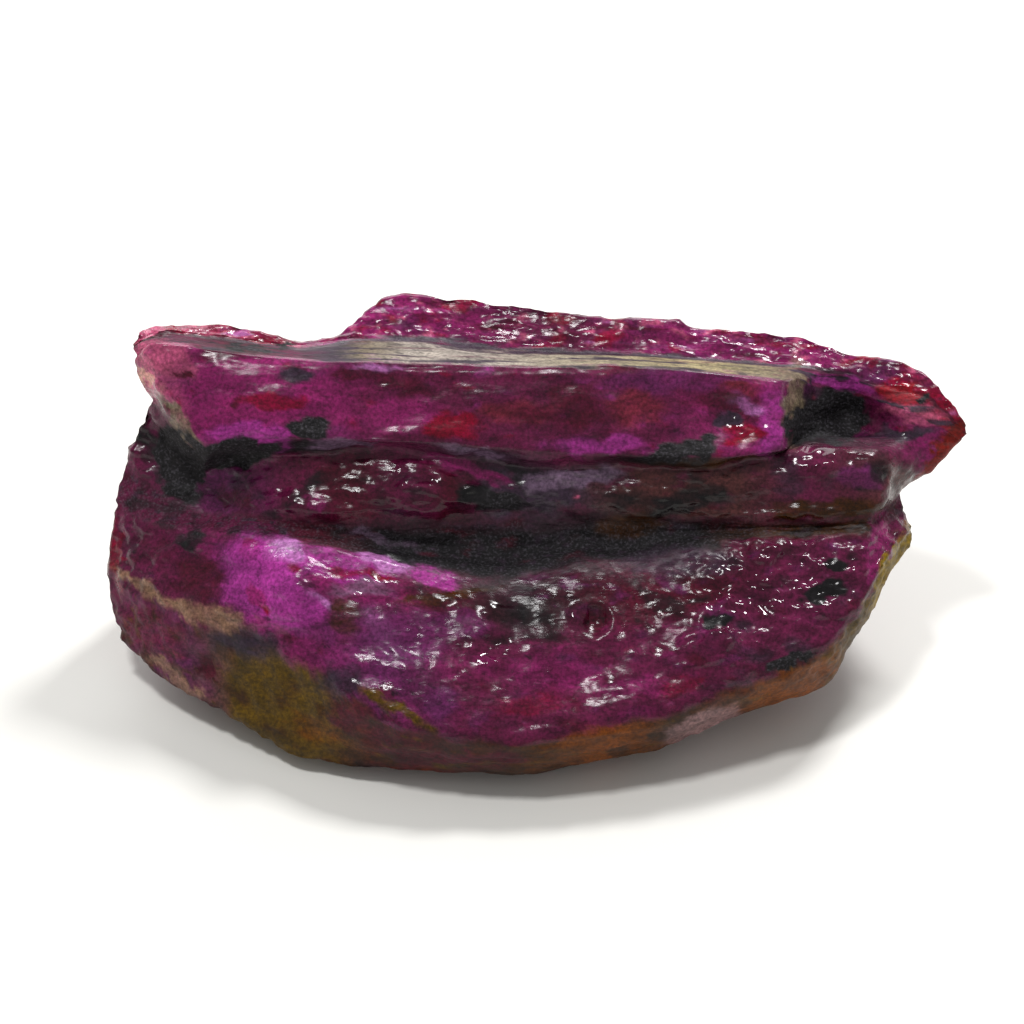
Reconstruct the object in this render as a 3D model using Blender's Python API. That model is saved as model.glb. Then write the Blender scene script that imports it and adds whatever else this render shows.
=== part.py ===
"""Rough sapphire: one unpolished lump of corundum that lies on a flat broken face.

The stone is a layered block that leans back. Its front is drawn as contour lines that run
from the left end to the right end, from the crest down to the hem: a thick slab on top, a
middle ledge, a deep groove and a swelling apron. The back and the underside are drawn the
same way, and flat fracture faces are pressed into them. One skin is lofted through the lines.
"""
import math

import bmesh
import bpy
import numpy as np

NAME = "rough_sapphire"
MM = 0.001

# Driving dimensions
LENGTH = 60.4 * MM
LEAN = math.radians(40)

# The view in which the front's contour lines are drawn, in millimetres: how far off the eye is,
# and the place on the leaning face straight in front of it.
EYE_DISTANCE = 240.0
EYE_ALONG = -1.8
EYE_UP = 18.5

# Fineness of the loft
COLUMNS = 80
FRONT_ROWS = (2, 2, 3, 3, 1, 2, 1, 1, 4, 4, 2, 1)
BACK_ROWS = (3, 6, 6, 3, 5, 3)
END_CROWDING = 0.62
END_CAP = 0.12

# Relief in millimetres
ROUGHNESS = 0.12
SEED = 7
LEDGE_PITCH = 4.6
LEDGE_DEPTH = 0.7
LEDGE_WAVE = 0.8
STRIA_PITCH = 1.3
STRIA_DEPTH = 0.2
FRONT_CHIPS = 0.45
BACK_CHIPS = 1.0
SEAM_ROWS = 3
CORE = (0.0, 13.0, 10.0)
CORE_REACH = 0.35

# Contour lines of the front in millimetres, as the leaning face shows them:
# along the length from the middle, up the face from the hem, and out of the face.
FRONT_LINES = (
    ("crest", (
        (-28.0, 31.0, -3.2), (-27.2, 31.6, -4.2), (-22.0, 31.7, -5.4), (-16.7, 30.4, -6.3),
        (-14.0, 30.8, -7.0), (-11.0, 33.5, -8.3), (-9.3, 33.8, -8.3), (-2.5, 33.0, -7.6),
        (4.0, 32.2, -7.0), (9.8, 32.0, -7.0), (11.2, 31.4, -7.0), (18.5, 30.7, -6.4),
        (22.0, 29.5, -6.0), (25.2, 29.1, -5.4), (27.2, 28.3, -5.0), (28.8, 26.5, -4.5),
        (30.1, 24.6, -4.0))),
    ("valley", (
        (-28.3, 30.2, -2.6), (-26.0, 31.0, -3.8), (-21.0, 30.5, -5.0), (-16.5, 30.0, -5.6),
        (-12.5, 30.6, -6.4), (-8.0, 30.5, -6.6), (-2.0, 29.8, -6.3), (6.0, 29.5, -6.0),
        (13.0, 29.1, -5.6), (18.8, 28.6, -4.9), (22.0, 28.2, -5.0), (24.0, 27.4, -4.6),
        (27.5, 26.6, -4.3), (30.2, 24.0, -4.1))),
    ("slab brow", (
        (-28.2, 29.4, -2.0), (-27.2, 30.4, -0.8), (-24.5, 30.2, 0.2), (-20.5, 29.6, 0.3),
        (-15.0, 29.1, 0.3), (-8.0, 29.0, 0.4), (0.0, 28.7, 0.4), (5.0, 28.9, 0.3),
        (10.0, 28.6, 0.2), (17.2, 27.7, 0.2), (18.3, 28.0, -2.6), (19.4, 27.3, -4.8),
        (22.0, 27.0, -5.4), (26.0, 25.6, -3.6), (29.8, 23.6, -4.2))),
    ("slab waist", (
        (-27.8, 27.9, -2.6), (-26.8, 28.0, -0.6), (-24.0, 27.3, 0.6), (-20.0, 26.8, 1.0),
        (-13.0, 26.3, 0.3), (-3.0, 26.0, 0.9), (7.0, 25.8, 0.6), (13.0, 25.6, 0.0),
        (17.3, 25.4, 0.5), (18.3, 25.6, -3.0), (19.4, 25.6, -5.0), (22.0, 25.3, -5.8),
        (26.0, 24.9, -3.7), (29.2, 23.0, -4.4))),
    ("slab foot", (
        (-27.0, 26.3, -3.4), (-26.2, 25.6, -0.9), (-24.8, 24.1, 0.2), (-23.0, 22.4, 0.6),
        (-22.1, 23.3, 0.8), (-19.5, 23.7, 0.9), (-8.0, 23.4, 0.8), (0.0, 22.6, 0.8),
        (13.5, 22.3, 0.7), (17.4, 22.8, 0.6), (18.1, 23.3, -3.4), (19.4, 23.9, -5.0),
        (22.0, 23.8, -5.3), (26.0, 23.9, -3.8), (28.5, 22.2, -4.8))),
    ("shelf brow", (
        (-27.6, 25.2, -4.8), (-25.8, 23.3, -4.6), (-23.5, 21.2, -4.6), (-21.2, 22.3, -3.2),
        (-18.8, 22.8, -1.8), (-13.9, 22.8, -1.2), (-7.0, 22.6, -0.8), (0.0, 21.7, -0.5),
        (6.0, 21.7, -0.7), (12.7, 21.7, -0.8), (18.5, 23.2, -0.6), (21.4, 23.3, -0.2),
        (23.4, 22.9, -0.2), (24.7, 22.1, -0.9), (26.8, 20.9, -5.4))),
    ("shelf lip", (
        (-28.6, 22.7, -6.0), (-26.5, 20.7, -4.8), (-23.7, 19.0, -4.0), (-20.9, 18.6, -2.2),
        (-19.0, 18.4, -0.9), (-15.0, 18.3, -0.1), (-8.0, 18.5, 0.1), (0.0, 19.3, -0.3),
        (4.3, 19.5, -0.5), (8.5, 18.8, -0.8), (12.7, 18.1, -0.6), (17.0, 17.8, -0.1),
        (21.0, 17.9, 0.2), (23.9, 18.6, -0.2), (25.7, 20.2, -5.2))),
    ("groove", (
        (-29.4, 20.5, -6.6), (-26.5, 19.0, -4.8), (-23.7, 18.0, -3.4), (-20.9, 17.8, -2.0),
        (-18.0, 17.5, -1.3), (-14.0, 16.9, -1.6), (-9.7, 16.3, -1.9), (-5.0, 15.8, -2.2),
        (0.0, 15.9, -2.4), (5.0, 16.6, -2.3), (11.0, 17.2, -2.0), (15.5, 17.4, -1.6),
        (19.7, 17.5, -1.1), (23.2, 17.8, -0.9), (25.6, 19.5, -5.0))),
    ("apron brow", (
        (-29.7, 18.7, -6.6), (-27.2, 17.8, -4.2), (-23.7, 17.4, -2.0), (-20.9, 17.3, -0.1),
        (-18.8, 17.1, 0.3), (-12.5, 15.6, 0.7), (-6.0, 14.3, 0.9), (-2.0, 13.8, 0.8),
        (0.1, 14.3, 0.6), (2.9, 15.3, 0.2), (7.1, 15.3, 0.1), (11.3, 16.2, 0.0), (15.5, 16.9, 0.1),
        (23.0, 17.0, 0.3), (25.7, 18.6, -4.6))),
    ("apron swell", (
        (-30.0, 16.6, -6.6), (-27.9, 16.0, -4.4), (-25.1, 15.4, -2.2), (-22.3, 14.1, -0.2),
        (-20.5, 13.4, 1.0), (-16.7, 12.9, 2.0), (-12.5, 11.0, 2.7), (-7.0, 9.6, 3.2),
        (-1.0, 8.9, 3.5), (4.3, 9.2, 3.3), (10.0, 10.2, 2.8), (15.5, 12.0, 1.9), (19.7, 13.0, 1.4),
        (23.0, 14.8, 0.8), (26.0, 17.8, -4.4))),
    ("apron foot", (
        (-30.2, 14.1, -6.5), (-28.9, 14.0, -4.8), (-26.5, 13.0, -2.6), (-23.7, 11.9, -0.8),
        (-18.1, 9.8, 1.8), (-15.3, 8.1, 2.8), (-13.2, 6.0, 3.8), (-9.7, 3.9, 4.8),
        (-6.2, 2.8, 5.3), (-1.3, 2.5, 5.5), (2.2, 2.9, 5.3), (7.0, 3.8, 4.8), (11.3, 5.4, 4.2),
        (18.3, 8.3, 2.8), (20.4, 9.2, 2.0), (22.2, 11.3, 1.2), (23.6, 13.6, 0.6),
        (24.6, 15.6, -0.8), (26.2, 17.2, -4.2))),
    ("belly", (
        (-29.9, 11.7, -6.4), (-27.9, 10.6, -4.4), (-24.4, 8.7, -1.9), (-20.9, 7.0, -0.4),
        (-13.2, 3.4, 3.0), (-9.7, 2.1, 3.8), (-5.5, 1.4, 4.3), (0.0, 1.4, 4.4), (4.3, 2.0, 4.2),
        (10.0, 3.4, 3.5), (18.3, 6.5, 1.6), (20.8, 8.1, 0.6), (22.7, 10.6, -0.2),
        (24.3, 13.4, -0.9), (26.3, 16.8, -4.1))),
    ("hem", (
        (-29.2, 9.5, -6.0), (-27.2, 7.4, -4.4), (-23.5, 5.2, -2.2), (-20.8, 3.6, -1.0),
        (-18.4, 2.0, -0.2), (-16.8, 1.3, 0.5), (-13.8, 0.8, 1.0), (-9.7, 0.5, 1.8),
        (-4.0, 0.1, 2.2), (-1.5, 0.0, 2.4), (5.0, 1.2, 2.0), (8.6, 1.8, 1.5), (11.1, 2.9, 1.2),
        (14.0, 4.2, 0.2), (18.3, 5.5, -0.8), (20.7, 6.6, -1.8), (21.8, 9.0, -2.6),
        (23.4, 11.3, -3.0), (24.4, 13.7, -3.4), (26.2, 16.2, -4.0))),
)

# Contour lines of the back and the underside in millimetres, as the stone stands:
# along the length, back from the hem, and up from the ground.
BACK_LINES = (
    ("back brow", (
        (-27.6, 27.0, 17.4), (-16.0, 27.5, 16.2), (-9.0, 29.6, 17.5), (10.0, 28.8, 16.5),
        (19.0, 27.4, 16.0), (29.4, 22.0, 14.2))),
    ("back wall", (
        (-27.0, 25.5, 10.5), (-14.0, 29.5, 11.0), (0.0, 30.6, 10.0), (12.0, 29.2, 10.0),
        (21.0, 26.8, 10.8), (28.8, 24.0, 11.5))),
    ("heel", (
        (-27.8, 21.5, 4.4), (-14.0, 26.8, 2.5), (0.0, 28.2, 2.0), (12.0, 26.0, 2.5),
        (20.0, 24.0, 5.4), (25.8, 22.4, 8.6))),
    ("sole back", (
        (-27.8, 17.6, 2.0), (-16.0, 22.0, -0.8), (0.0, 24.0, -0.8), (12.0, 21.5, -0.8),
        (25.0, 19.2, 7.0))),
    ("sole front", (
        (-27.8, 13.6, 1.9), (-16.0, 5.5, -0.8), (0.0, 1.5, -0.8), (12.0, 6.5, -0.8),
        (24.6, 15.4, 7.8))),
)

# Flat fracture faces of the back, the stone as it stands: a point on the face in
# millimetres, and the direction it faces.
FRACTURES = (
    ((0.0, 28.3, 10.0), (0.06, 0.98, -0.16)),
    ((-22.0, 24.6, 10.0), (-0.55, 0.83, 0.02)),
    ((22.0, 24.8, 11.0), (0.36, 0.92, -0.14)),
    ((-22.0, 14.0, 0.5), (-0.24, 0.05, -0.97)),
    ((17.0, 14.0, 2.0), (0.50, -0.05, -0.86)),
)

# Slanting directions in which the chipped relief folds, each with its pitch in millimetres
# and its share of the relief's height.
CHIP_FOLDS = (
    ((0.62, 0.45, 0.64), 7.3, 0.40),
    ((-0.50, 0.81, 0.31), 5.1, 0.32),
    ((0.88, -0.30, -0.37), 9.7, 0.28),
)

# Pits and lumps of the front in millimetres: place along the length and up the face,
# width, and height, which is negative for a pit.
BLISTERS = (
    (4.0, 10.9, 2.6, -0.9),
    (-3.2, 9.2, 2.4, -0.6),
    (13.6, 25.2, 2.8, -0.9),
    (-23.3, 7.6, 2.0, -0.9),
    (15.9, 15.4, 3.0, 0.5),
    (12.3, 8.9, 3.4, 0.7),
    (-17.0, 13.2, 4.4, 0.8),
    (-9.0, 20.2, 4.2, 0.6),
    (19.5, 21.5, 3.6, 0.5),
    (21.3, 25.4, 3.6, -0.8),
)


def clear_scene():
    """Remove the objects that a new file starts with."""
    for thing in list(bpy.data.objects):
        bpy.data.objects.remove(thing, do_unlink=True)


def column_places():
    """Return where the columns stand along every line, from 0 to 1, closer together at both ends."""
    even = np.linspace(0.0, 1.0, COLUMNS + 1)
    return even - END_CROWDING * np.sin(2 * math.pi * even) / (2 * math.pi)


def stretch_line(points, places):
    """Return a contour line's points at the columns' places."""
    along, second, third = np.array(points).T
    stations = along[0] + (along[-1] - along[0]) * places
    return np.stack([stations, np.interp(stations, along, second), np.interp(stations, along, third)], axis=1)


def lean_back(face):
    """Turn places that the eye sees on the leaning face into places of the stone as it stands."""
    along, up, out = np.moveaxis(face, -1, 0)
    nearness = 1.0 - out / EYE_DISTANCE
    along = EYE_ALONG + (along - EYE_ALONG) * nearness
    up = EYE_UP + (up - EYE_UP) * nearness
    back = up * math.sin(LEAN) - out * math.cos(LEAN)
    height = up * math.cos(LEAN) + out * math.sin(LEAN)
    return np.stack([along, back, height], axis=-1)


def fill_rows(lines, rows):
    """Lay rows of points between neighbouring contour lines, down to the last line."""
    filled = []
    for upper, lower, count in zip(lines[:-1], lines[1:], rows):
        for step in range(count):
            filled.append(upper + (lower - upper) * step / count)
    filled.append(lines[-1])
    return np.array(filled)


def chips(points):
    """Return the chipped relief, from -1 to 1: flat folds in slanting directions, laid on each other."""
    height = np.zeros(points.shape[:-1])
    for direction, pitch, share in CHIP_FOLDS:
        along = points @ np.array(direction) / pitch
        height += share * (2.0 * np.abs(along % 2.0 - 1.0) - 1.0)
    return height


def grit(places, shape, rng):
    """Return small uneven heights, lower where the columns stand closer."""
    room = np.gradient(places)
    return rng.uniform(-ROUGHNESS, ROUGHNESS, shape) * room / room.max()


def front_skin(places, rng):
    """Return the rows of the front with its relief, crest first."""
    lines = np.array([stretch_line(points, places) for _, points in FRONT_LINES])
    face = fill_rows(lines, FRONT_ROWS)
    rise = FRONT_CHIPS * chips(face)
    for along, up, width, height in BLISTERS:
        spread = ((face[..., 0] - along) ** 2 + (face[..., 1] - up) ** 2) / (width / 2) ** 2
        rise += height * np.exp(-spread)
    rise += STRIA_DEPTH * (np.floor(face[..., 1] / STRIA_PITCH) % 2 - 0.5)
    rise += grit(places, rise.shape, rng)
    rise[[0, -1]] = 0.0
    rise[:, [0, -1]] = 0.0
    face[..., 2] += rise
    return lean_back(face)


def roughen_back(skin, places, rng):
    """Give the back its ledges, which run along the length as the front's do, and its chips."""
    up = skin[..., 1] * math.sin(LEAN) + skin[..., 2] * math.cos(LEAN)
    up += LEDGE_WAVE * np.sin(skin[..., 0] / LEDGE_PITCH)
    rise = LEDGE_DEPTH * (up / LEDGE_PITCH % 1.0 - 0.5) + BACK_CHIPS * chips(skin)
    rise += grit(places, rise.shape, rng)
    rows = np.arange(len(rise))
    rise *= np.minimum(np.minimum(rows, rows[::-1]) / SEAM_ROWS, 1.0)[:, None]
    outward = skin - np.array(CORE)
    outward[..., 0] *= CORE_REACH
    outward /= np.linalg.norm(outward, axis=-1, keepdims=True)
    return skin + outward * rise[..., None]


def press_flat(skin):
    """Press whatever stands beyond a fracture face onto it."""
    for point, facing in FRACTURES:
        normal = np.array(facing) / np.linalg.norm(facing)
        beyond = np.maximum((skin - np.array(point)) @ normal, 0.0)
        skin = skin - beyond[..., None] * normal
    return skin


def back_skin(front, places, rng):
    """Return the rows of the back and the underside, from the crest round to the hem."""
    lines = [front[0]]
    lines += [stretch_line(points, places) for _, points in BACK_LINES]
    lines += [front[-1]]
    skin = press_flat(roughen_back(fill_rows(np.array(lines), BACK_ROWS), places, rng))
    from_end = np.minimum(places, 1.0 - places) / END_CAP
    cap = np.sqrt(1.0 - (1.0 - np.minimum(from_end, 1.0)) ** 2)
    left = front[:, :1]
    right = front[:, -1:]
    seam = np.where(places[None, :, None] < 0.5, left, right)
    skin = seam + (skin - seam) * cap[None, :, None]
    skin[0] = front[0]
    skin[-1] = front[-1]
    return skin


def stand_and_centre(front, back):
    """Cut the foot off level, set it on the ground and centre the stone over the origin."""
    for skin in (front, back):
        skin[..., 2] = np.maximum(skin[..., 2], 0.0)
    both = np.concatenate([front.reshape(-1, 3), back.reshape(-1, 3)])
    low = both.min(axis=0)
    high = both.max(axis=0)
    middle = np.array([(low[0] + high[0]) / 2, (low[1] + high[1]) / 2, 0.0])
    scale = LENGTH / (high[0] - low[0])
    return (front - middle) * scale, (back - middle) * scale


def skin_faces(mesh, front, back):
    """Loft faces through the rows of both skins, which share their edges."""
    rows, columns = front.shape[:2]
    front_verts = [[mesh.verts.new(front[r, c]) for c in range(columns)] for r in range(rows)]
    back_verts = [list(line) for line in front_verts]
    for r in range(1, rows - 1):
        for c in range(1, columns - 1):
            back_verts[r][c] = mesh.verts.new(back[r, c])
    for sheet, outward in ((front_verts, True), (back_verts, False)):
        for r in range(rows - 1):
            for c in range(columns - 1):
                corners = [sheet[r][c], sheet[r + 1][c], sheet[r + 1][c + 1], sheet[r][c + 1]]
                if not outward:
                    corners.reverse()
                mesh.faces.new(corners)


def corundum():
    """Return the stone's material: dark purple-red crystal with a wet gloss."""
    material = bpy.data.materials.new("corundum")
    material.use_nodes = True
    shader = material.node_tree.nodes["Principled BSDF"]
    shader.inputs["Base Color"].default_value = (0.11, 0.013, 0.055, 1.0)
    shader.inputs["Roughness"].default_value = 0.28
    shader.inputs["Metallic"].default_value = 0.0
    material.diffuse_color = (0.11, 0.013, 0.055, 1.0)
    return material


def build_stone():
    """Model the stone and put it in its collection."""
    places = column_places()
    rng = np.random.default_rng(SEED)
    front = front_skin(places, rng)
    back = back_skin(front, places, rng)
    front, back = stand_and_centre(front, back)
    mesh = bmesh.new()
    skin_faces(mesh, front, back)
    bmesh.ops.triangulate(mesh, faces=mesh.faces[:])
    data = bpy.data.meshes.new(NAME)
    mesh.to_mesh(data)
    mesh.free()
    data.materials.append(corundum())
    stone = bpy.data.objects.new(NAME, data)
    collection = bpy.data.collections.new("Rough sapphire")
    bpy.context.scene.collection.children.link(collection)
    collection.objects.link(stone)
    return stone


clear_scene()
build_stone()
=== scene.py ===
"""A rough sapphire, dressed for close views.

The stone is one lofted skin. Its front is drawn as contour lines on a leaning face, its back
and underside as contour lines of the standing stone. Numpy lays a fine grid of points between
the lines, folds it, pits it and roughens it zone by zone, and paints each point a colour.
One finish breaks the colours up and varies the gloss. Tables of lines, zones, mottles and marks
hold the design, and the functions below them only read those tables.
"""

import math

import bpy
import numpy as np
from bpy.props import FloatProperty, FloatVectorProperty, IntProperty, PointerProperty
from bpy.types import Operator, Panel, PropertyGroup
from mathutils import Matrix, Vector


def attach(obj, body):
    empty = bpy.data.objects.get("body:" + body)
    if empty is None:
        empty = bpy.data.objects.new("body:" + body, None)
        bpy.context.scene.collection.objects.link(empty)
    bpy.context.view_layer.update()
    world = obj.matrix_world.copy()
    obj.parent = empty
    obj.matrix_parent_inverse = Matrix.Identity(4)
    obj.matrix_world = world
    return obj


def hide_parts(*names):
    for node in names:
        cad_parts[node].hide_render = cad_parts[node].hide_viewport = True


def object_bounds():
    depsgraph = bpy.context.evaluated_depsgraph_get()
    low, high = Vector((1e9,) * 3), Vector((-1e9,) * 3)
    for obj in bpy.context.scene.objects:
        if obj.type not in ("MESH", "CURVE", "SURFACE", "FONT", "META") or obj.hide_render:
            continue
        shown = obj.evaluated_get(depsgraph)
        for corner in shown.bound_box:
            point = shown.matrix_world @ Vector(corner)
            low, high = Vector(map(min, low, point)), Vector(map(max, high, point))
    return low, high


bl_info = {
    "name": "Rough sapphire",
    "version": (1, 0, 0),
    "blender": (4, 5, 0),
    "location": "View3D > Sidebar > Sapphire",
    "description": "Makes a rough sapphire lump and the plain stage it lies on",
    "category": "Add Mesh",
}

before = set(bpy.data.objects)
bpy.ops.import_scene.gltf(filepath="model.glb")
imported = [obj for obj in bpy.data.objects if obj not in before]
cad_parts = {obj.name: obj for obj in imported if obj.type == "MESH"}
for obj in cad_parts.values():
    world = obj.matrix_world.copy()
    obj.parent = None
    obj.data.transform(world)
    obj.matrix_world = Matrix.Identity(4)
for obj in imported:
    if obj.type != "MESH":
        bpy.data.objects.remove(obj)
CAD_LOW, CAD_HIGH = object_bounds()

MM = 0.001
STONE = "rough_sapphire"

# The solid's length in millimetres, and how far the face that the front is drawn on leans back
LENGTH = (CAD_HIGH.x - CAD_LOW.x) / MM
LEAN = math.radians(40)

# The view in which the contour lines are drawn, in millimetres: how far off the eye is,
# and the place on the leaning face straight in front of it.
EYE_DISTANCE = 240.0
EYE_ALONG = -1.8
EYE_UP = 18.5

# Contour lines of the front in millimetres, as the leaning face shows them:
# along the length from the middle, up the face from the hem, and out of the face.
FRONT_LINES = (
    ("crest", (
        (-28.0, 31.0, -3.2), (-27.2, 31.6, -4.2), (-22.0, 31.7, -5.4), (-16.7, 30.4, -6.3),
        (-14.0, 30.8, -7.0), (-11.0, 33.5, -8.3), (-9.3, 33.8, -8.3), (-2.5, 33.0, -7.6),
        (4.0, 32.2, -7.0), (9.8, 32.0, -7.0), (11.2, 31.4, -7.0), (18.5, 30.7, -6.4),
        (22.0, 29.5, -6.0), (25.2, 29.1, -5.4), (27.2, 28.3, -5.0), (28.8, 26.5, -4.5),
        (30.1, 24.6, -4.0))),
    ("valley", (
        (-28.3, 30.2, -2.6), (-26.0, 31.0, -3.8), (-21.0, 30.5, -5.0), (-16.5, 30.0, -5.6),
        (-12.5, 30.6, -6.4), (-8.0, 30.5, -6.6), (-2.0, 29.8, -6.3), (6.0, 29.5, -6.0),
        (13.0, 29.1, -5.6), (18.8, 28.6, -4.9), (22.0, 28.2, -5.0), (24.0, 27.4, -4.6),
        (27.5, 26.6, -4.3), (30.2, 24.0, -4.1))),
    ("slab brow", (
        (-28.2, 29.4, -2.0), (-27.2, 30.4, -0.8), (-24.5, 30.2, 0.2), (-20.5, 29.6, 0.3),
        (-15.0, 29.1, 0.3), (-8.0, 29.0, 0.4), (0.0, 28.7, 0.4), (5.0, 28.9, 0.3),
        (10.0, 28.6, 0.2), (17.2, 27.7, 0.2), (18.3, 28.0, -2.6), (19.4, 27.3, -4.8),
        (22.0, 27.0, -5.4), (26.0, 25.6, -3.6), (29.8, 23.6, -4.2))),
    ("slab waist", (
        (-27.8, 27.9, -2.6), (-26.8, 28.0, -0.6), (-24.0, 27.3, 0.6), (-20.0, 26.8, 1.0),
        (-13.0, 26.3, 0.3), (-3.0, 26.0, 0.9), (7.0, 25.8, 0.6), (13.0, 25.6, 0.0),
        (17.3, 25.4, 0.5), (18.3, 25.6, -3.0), (19.4, 25.6, -5.0), (22.0, 25.3, -5.8),
        (26.0, 24.9, -3.7), (29.2, 23.0, -4.4))),
    ("slab foot", (
        (-27.0, 26.3, -3.4), (-26.2, 25.6, -0.9), (-24.8, 24.1, 0.2), (-23.0, 22.4, 0.6),
        (-22.1, 23.3, 0.8), (-19.5, 23.7, 0.9), (-8.0, 23.4, 0.8), (0.0, 22.6, 0.8),
        (13.5, 22.3, 0.7), (17.4, 22.8, 0.6), (18.1, 23.3, -3.4), (19.4, 23.9, -5.0),
        (22.0, 23.8, -5.3), (26.0, 23.9, -3.8), (28.5, 22.2, -4.8))),
    ("shelf brow", (
        (-27.6, 25.2, -4.8), (-25.8, 23.3, -4.6), (-23.5, 21.2, -4.6), (-21.2, 22.3, -3.2),
        (-18.8, 22.8, -1.8), (-13.9, 22.8, -1.2), (-7.0, 22.6, -0.8), (0.0, 21.7, -0.5),
        (6.0, 21.7, -0.7), (12.7, 21.7, -0.8), (18.5, 23.2, -0.6), (21.4, 23.3, -0.2),
        (23.4, 22.9, -0.2), (24.7, 22.1, -0.9), (26.8, 20.9, -5.4))),
    ("shelf lip", (
        (-28.6, 22.7, -6.0), (-26.5, 20.7, -4.8), (-23.7, 19.0, -4.0), (-20.9, 18.6, -2.2),
        (-19.0, 18.4, -0.9), (-15.0, 18.3, -0.1), (-8.0, 18.5, 0.1), (0.0, 19.3, -0.3),
        (4.3, 19.5, -0.5), (8.5, 18.8, -0.8), (12.7, 18.1, -0.6), (17.0, 17.8, -0.1),
        (21.0, 17.9, 0.2), (23.9, 18.6, -0.2), (25.7, 20.2, -5.2))),
    ("groove", (
        (-29.4, 20.5, -6.6), (-26.5, 19.0, -4.8), (-23.7, 18.0, -3.4), (-20.9, 17.8, -2.0),
        (-18.0, 17.5, -1.3), (-14.0, 16.9, -1.6), (-9.7, 16.3, -1.9), (-5.0, 15.8, -2.2),
        (0.0, 15.9, -2.4), (5.0, 16.6, -2.3), (11.0, 17.2, -2.0), (15.5, 17.4, -1.6),
        (19.7, 17.5, -1.1), (23.2, 17.8, -0.9), (25.6, 19.5, -5.0))),
    ("apron brow", (
        (-29.7, 18.7, -6.6), (-27.2, 17.8, -4.2), (-23.7, 17.4, -2.0), (-20.9, 17.3, -0.1),
        (-18.8, 17.1, 0.3), (-12.5, 15.6, 0.7), (-6.0, 14.3, 0.9), (-2.0, 13.8, 0.8),
        (0.1, 14.3, 0.6), (2.9, 15.3, 0.2), (7.1, 15.3, 0.1), (11.3, 16.2, 0.0), (15.5, 16.9, 0.1),
        (23.0, 17.0, 0.3), (25.7, 18.6, -4.6))),
    ("apron swell", (
        (-30.0, 16.6, -6.6), (-27.9, 16.0, -4.4), (-25.1, 15.4, -2.2), (-22.3, 14.1, -0.2),
        (-20.5, 13.4, 1.0), (-16.7, 12.9, 2.0), (-12.5, 11.0, 2.7), (-7.0, 9.6, 3.2),
        (-1.0, 8.9, 3.5), (4.3, 9.2, 3.3), (10.0, 10.2, 2.8), (15.5, 12.0, 1.9), (19.7, 13.0, 1.4),
        (23.0, 14.8, 0.8), (26.0, 17.8, -4.4))),
    ("apron foot", (
        (-30.2, 14.1, -6.5), (-28.9, 14.0, -4.8), (-26.5, 13.0, -2.6), (-23.7, 11.9, -0.8),
        (-18.1, 9.8, 1.8), (-15.3, 8.1, 2.8), (-13.2, 6.0, 3.8), (-9.7, 3.9, 4.8),
        (-6.2, 2.8, 5.3), (-1.3, 2.5, 5.5), (2.2, 2.9, 5.3), (7.0, 3.8, 4.8), (11.3, 5.4, 4.2),
        (18.3, 8.3, 2.8), (20.4, 9.2, 2.0), (22.2, 11.3, 1.2), (23.6, 13.6, 0.6),
        (24.6, 15.6, -0.8), (26.2, 17.2, -4.2))),
    ("belly", (
        (-29.9, 11.7, -6.4), (-27.9, 10.6, -4.4), (-24.4, 8.7, -1.9), (-20.9, 7.0, -0.4),
        (-13.2, 3.4, 3.0), (-9.7, 2.1, 3.8), (-5.5, 1.4, 4.3), (0.0, 1.4, 4.4), (4.3, 2.0, 4.2),
        (10.0, 3.4, 3.5), (18.3, 6.5, 1.6), (20.8, 8.1, 0.6), (22.7, 10.6, -0.2),
        (24.3, 13.4, -0.9), (26.3, 16.8, -4.1))),
    ("hem", (
        (-29.2, 9.5, -6.0), (-27.2, 7.4, -4.4), (-23.5, 5.2, -2.2), (-20.8, 3.6, -1.0),
        (-18.4, 2.0, -0.2), (-16.8, 1.3, 0.5), (-13.8, 0.8, 1.0), (-9.7, 0.5, 1.8),
        (-4.0, 0.1, 2.2), (-1.5, 0.0, 2.4), (5.0, 1.2, 2.0), (8.6, 1.8, 1.5), (11.1, 2.9, 1.2),
        (14.0, 4.2, 0.2), (18.3, 5.5, -0.8), (20.7, 6.6, -1.8), (21.8, 9.0, -2.6),
        (23.4, 11.3, -3.0), (24.4, 13.7, -3.4), (26.2, 16.2, -4.0))),
)

# Contour lines of the back and the underside in millimetres, as the stone stands:
# along the length, back from the hem, and up from the ground.
BACK_LINES = (
    ("back brow", (
        (-27.6, 27.0, 17.4), (-16.0, 27.5, 16.2), (-9.0, 29.6, 17.5), (10.0, 28.8, 16.5),
        (19.0, 27.4, 16.0), (29.4, 22.0, 14.2))),
    ("back wall", (
        (-27.0, 25.5, 10.5), (-14.0, 29.5, 11.0), (0.0, 30.6, 10.0), (12.0, 29.2, 10.0),
        (21.0, 26.8, 10.8), (28.8, 24.0, 11.5))),
    ("heel", (
        (-27.8, 21.5, 4.4), (-14.0, 26.8, 2.5), (0.0, 28.2, 2.0), (12.0, 26.0, 2.5),
        (20.0, 24.0, 5.4), (25.8, 22.4, 8.6))),
    ("sole back", (
        (-27.8, 17.6, 2.0), (-16.0, 22.0, -0.8), (0.0, 24.0, -0.8), (12.0, 21.5, -0.8),
        (25.0, 19.2, 7.0))),
    ("sole front", (
        (-27.8, 13.6, 1.9), (-16.0, 5.5, -0.8), (0.0, 1.5, -0.8), (12.0, 6.5, -0.8),
        (24.6, 15.4, 7.8))),
)

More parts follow.
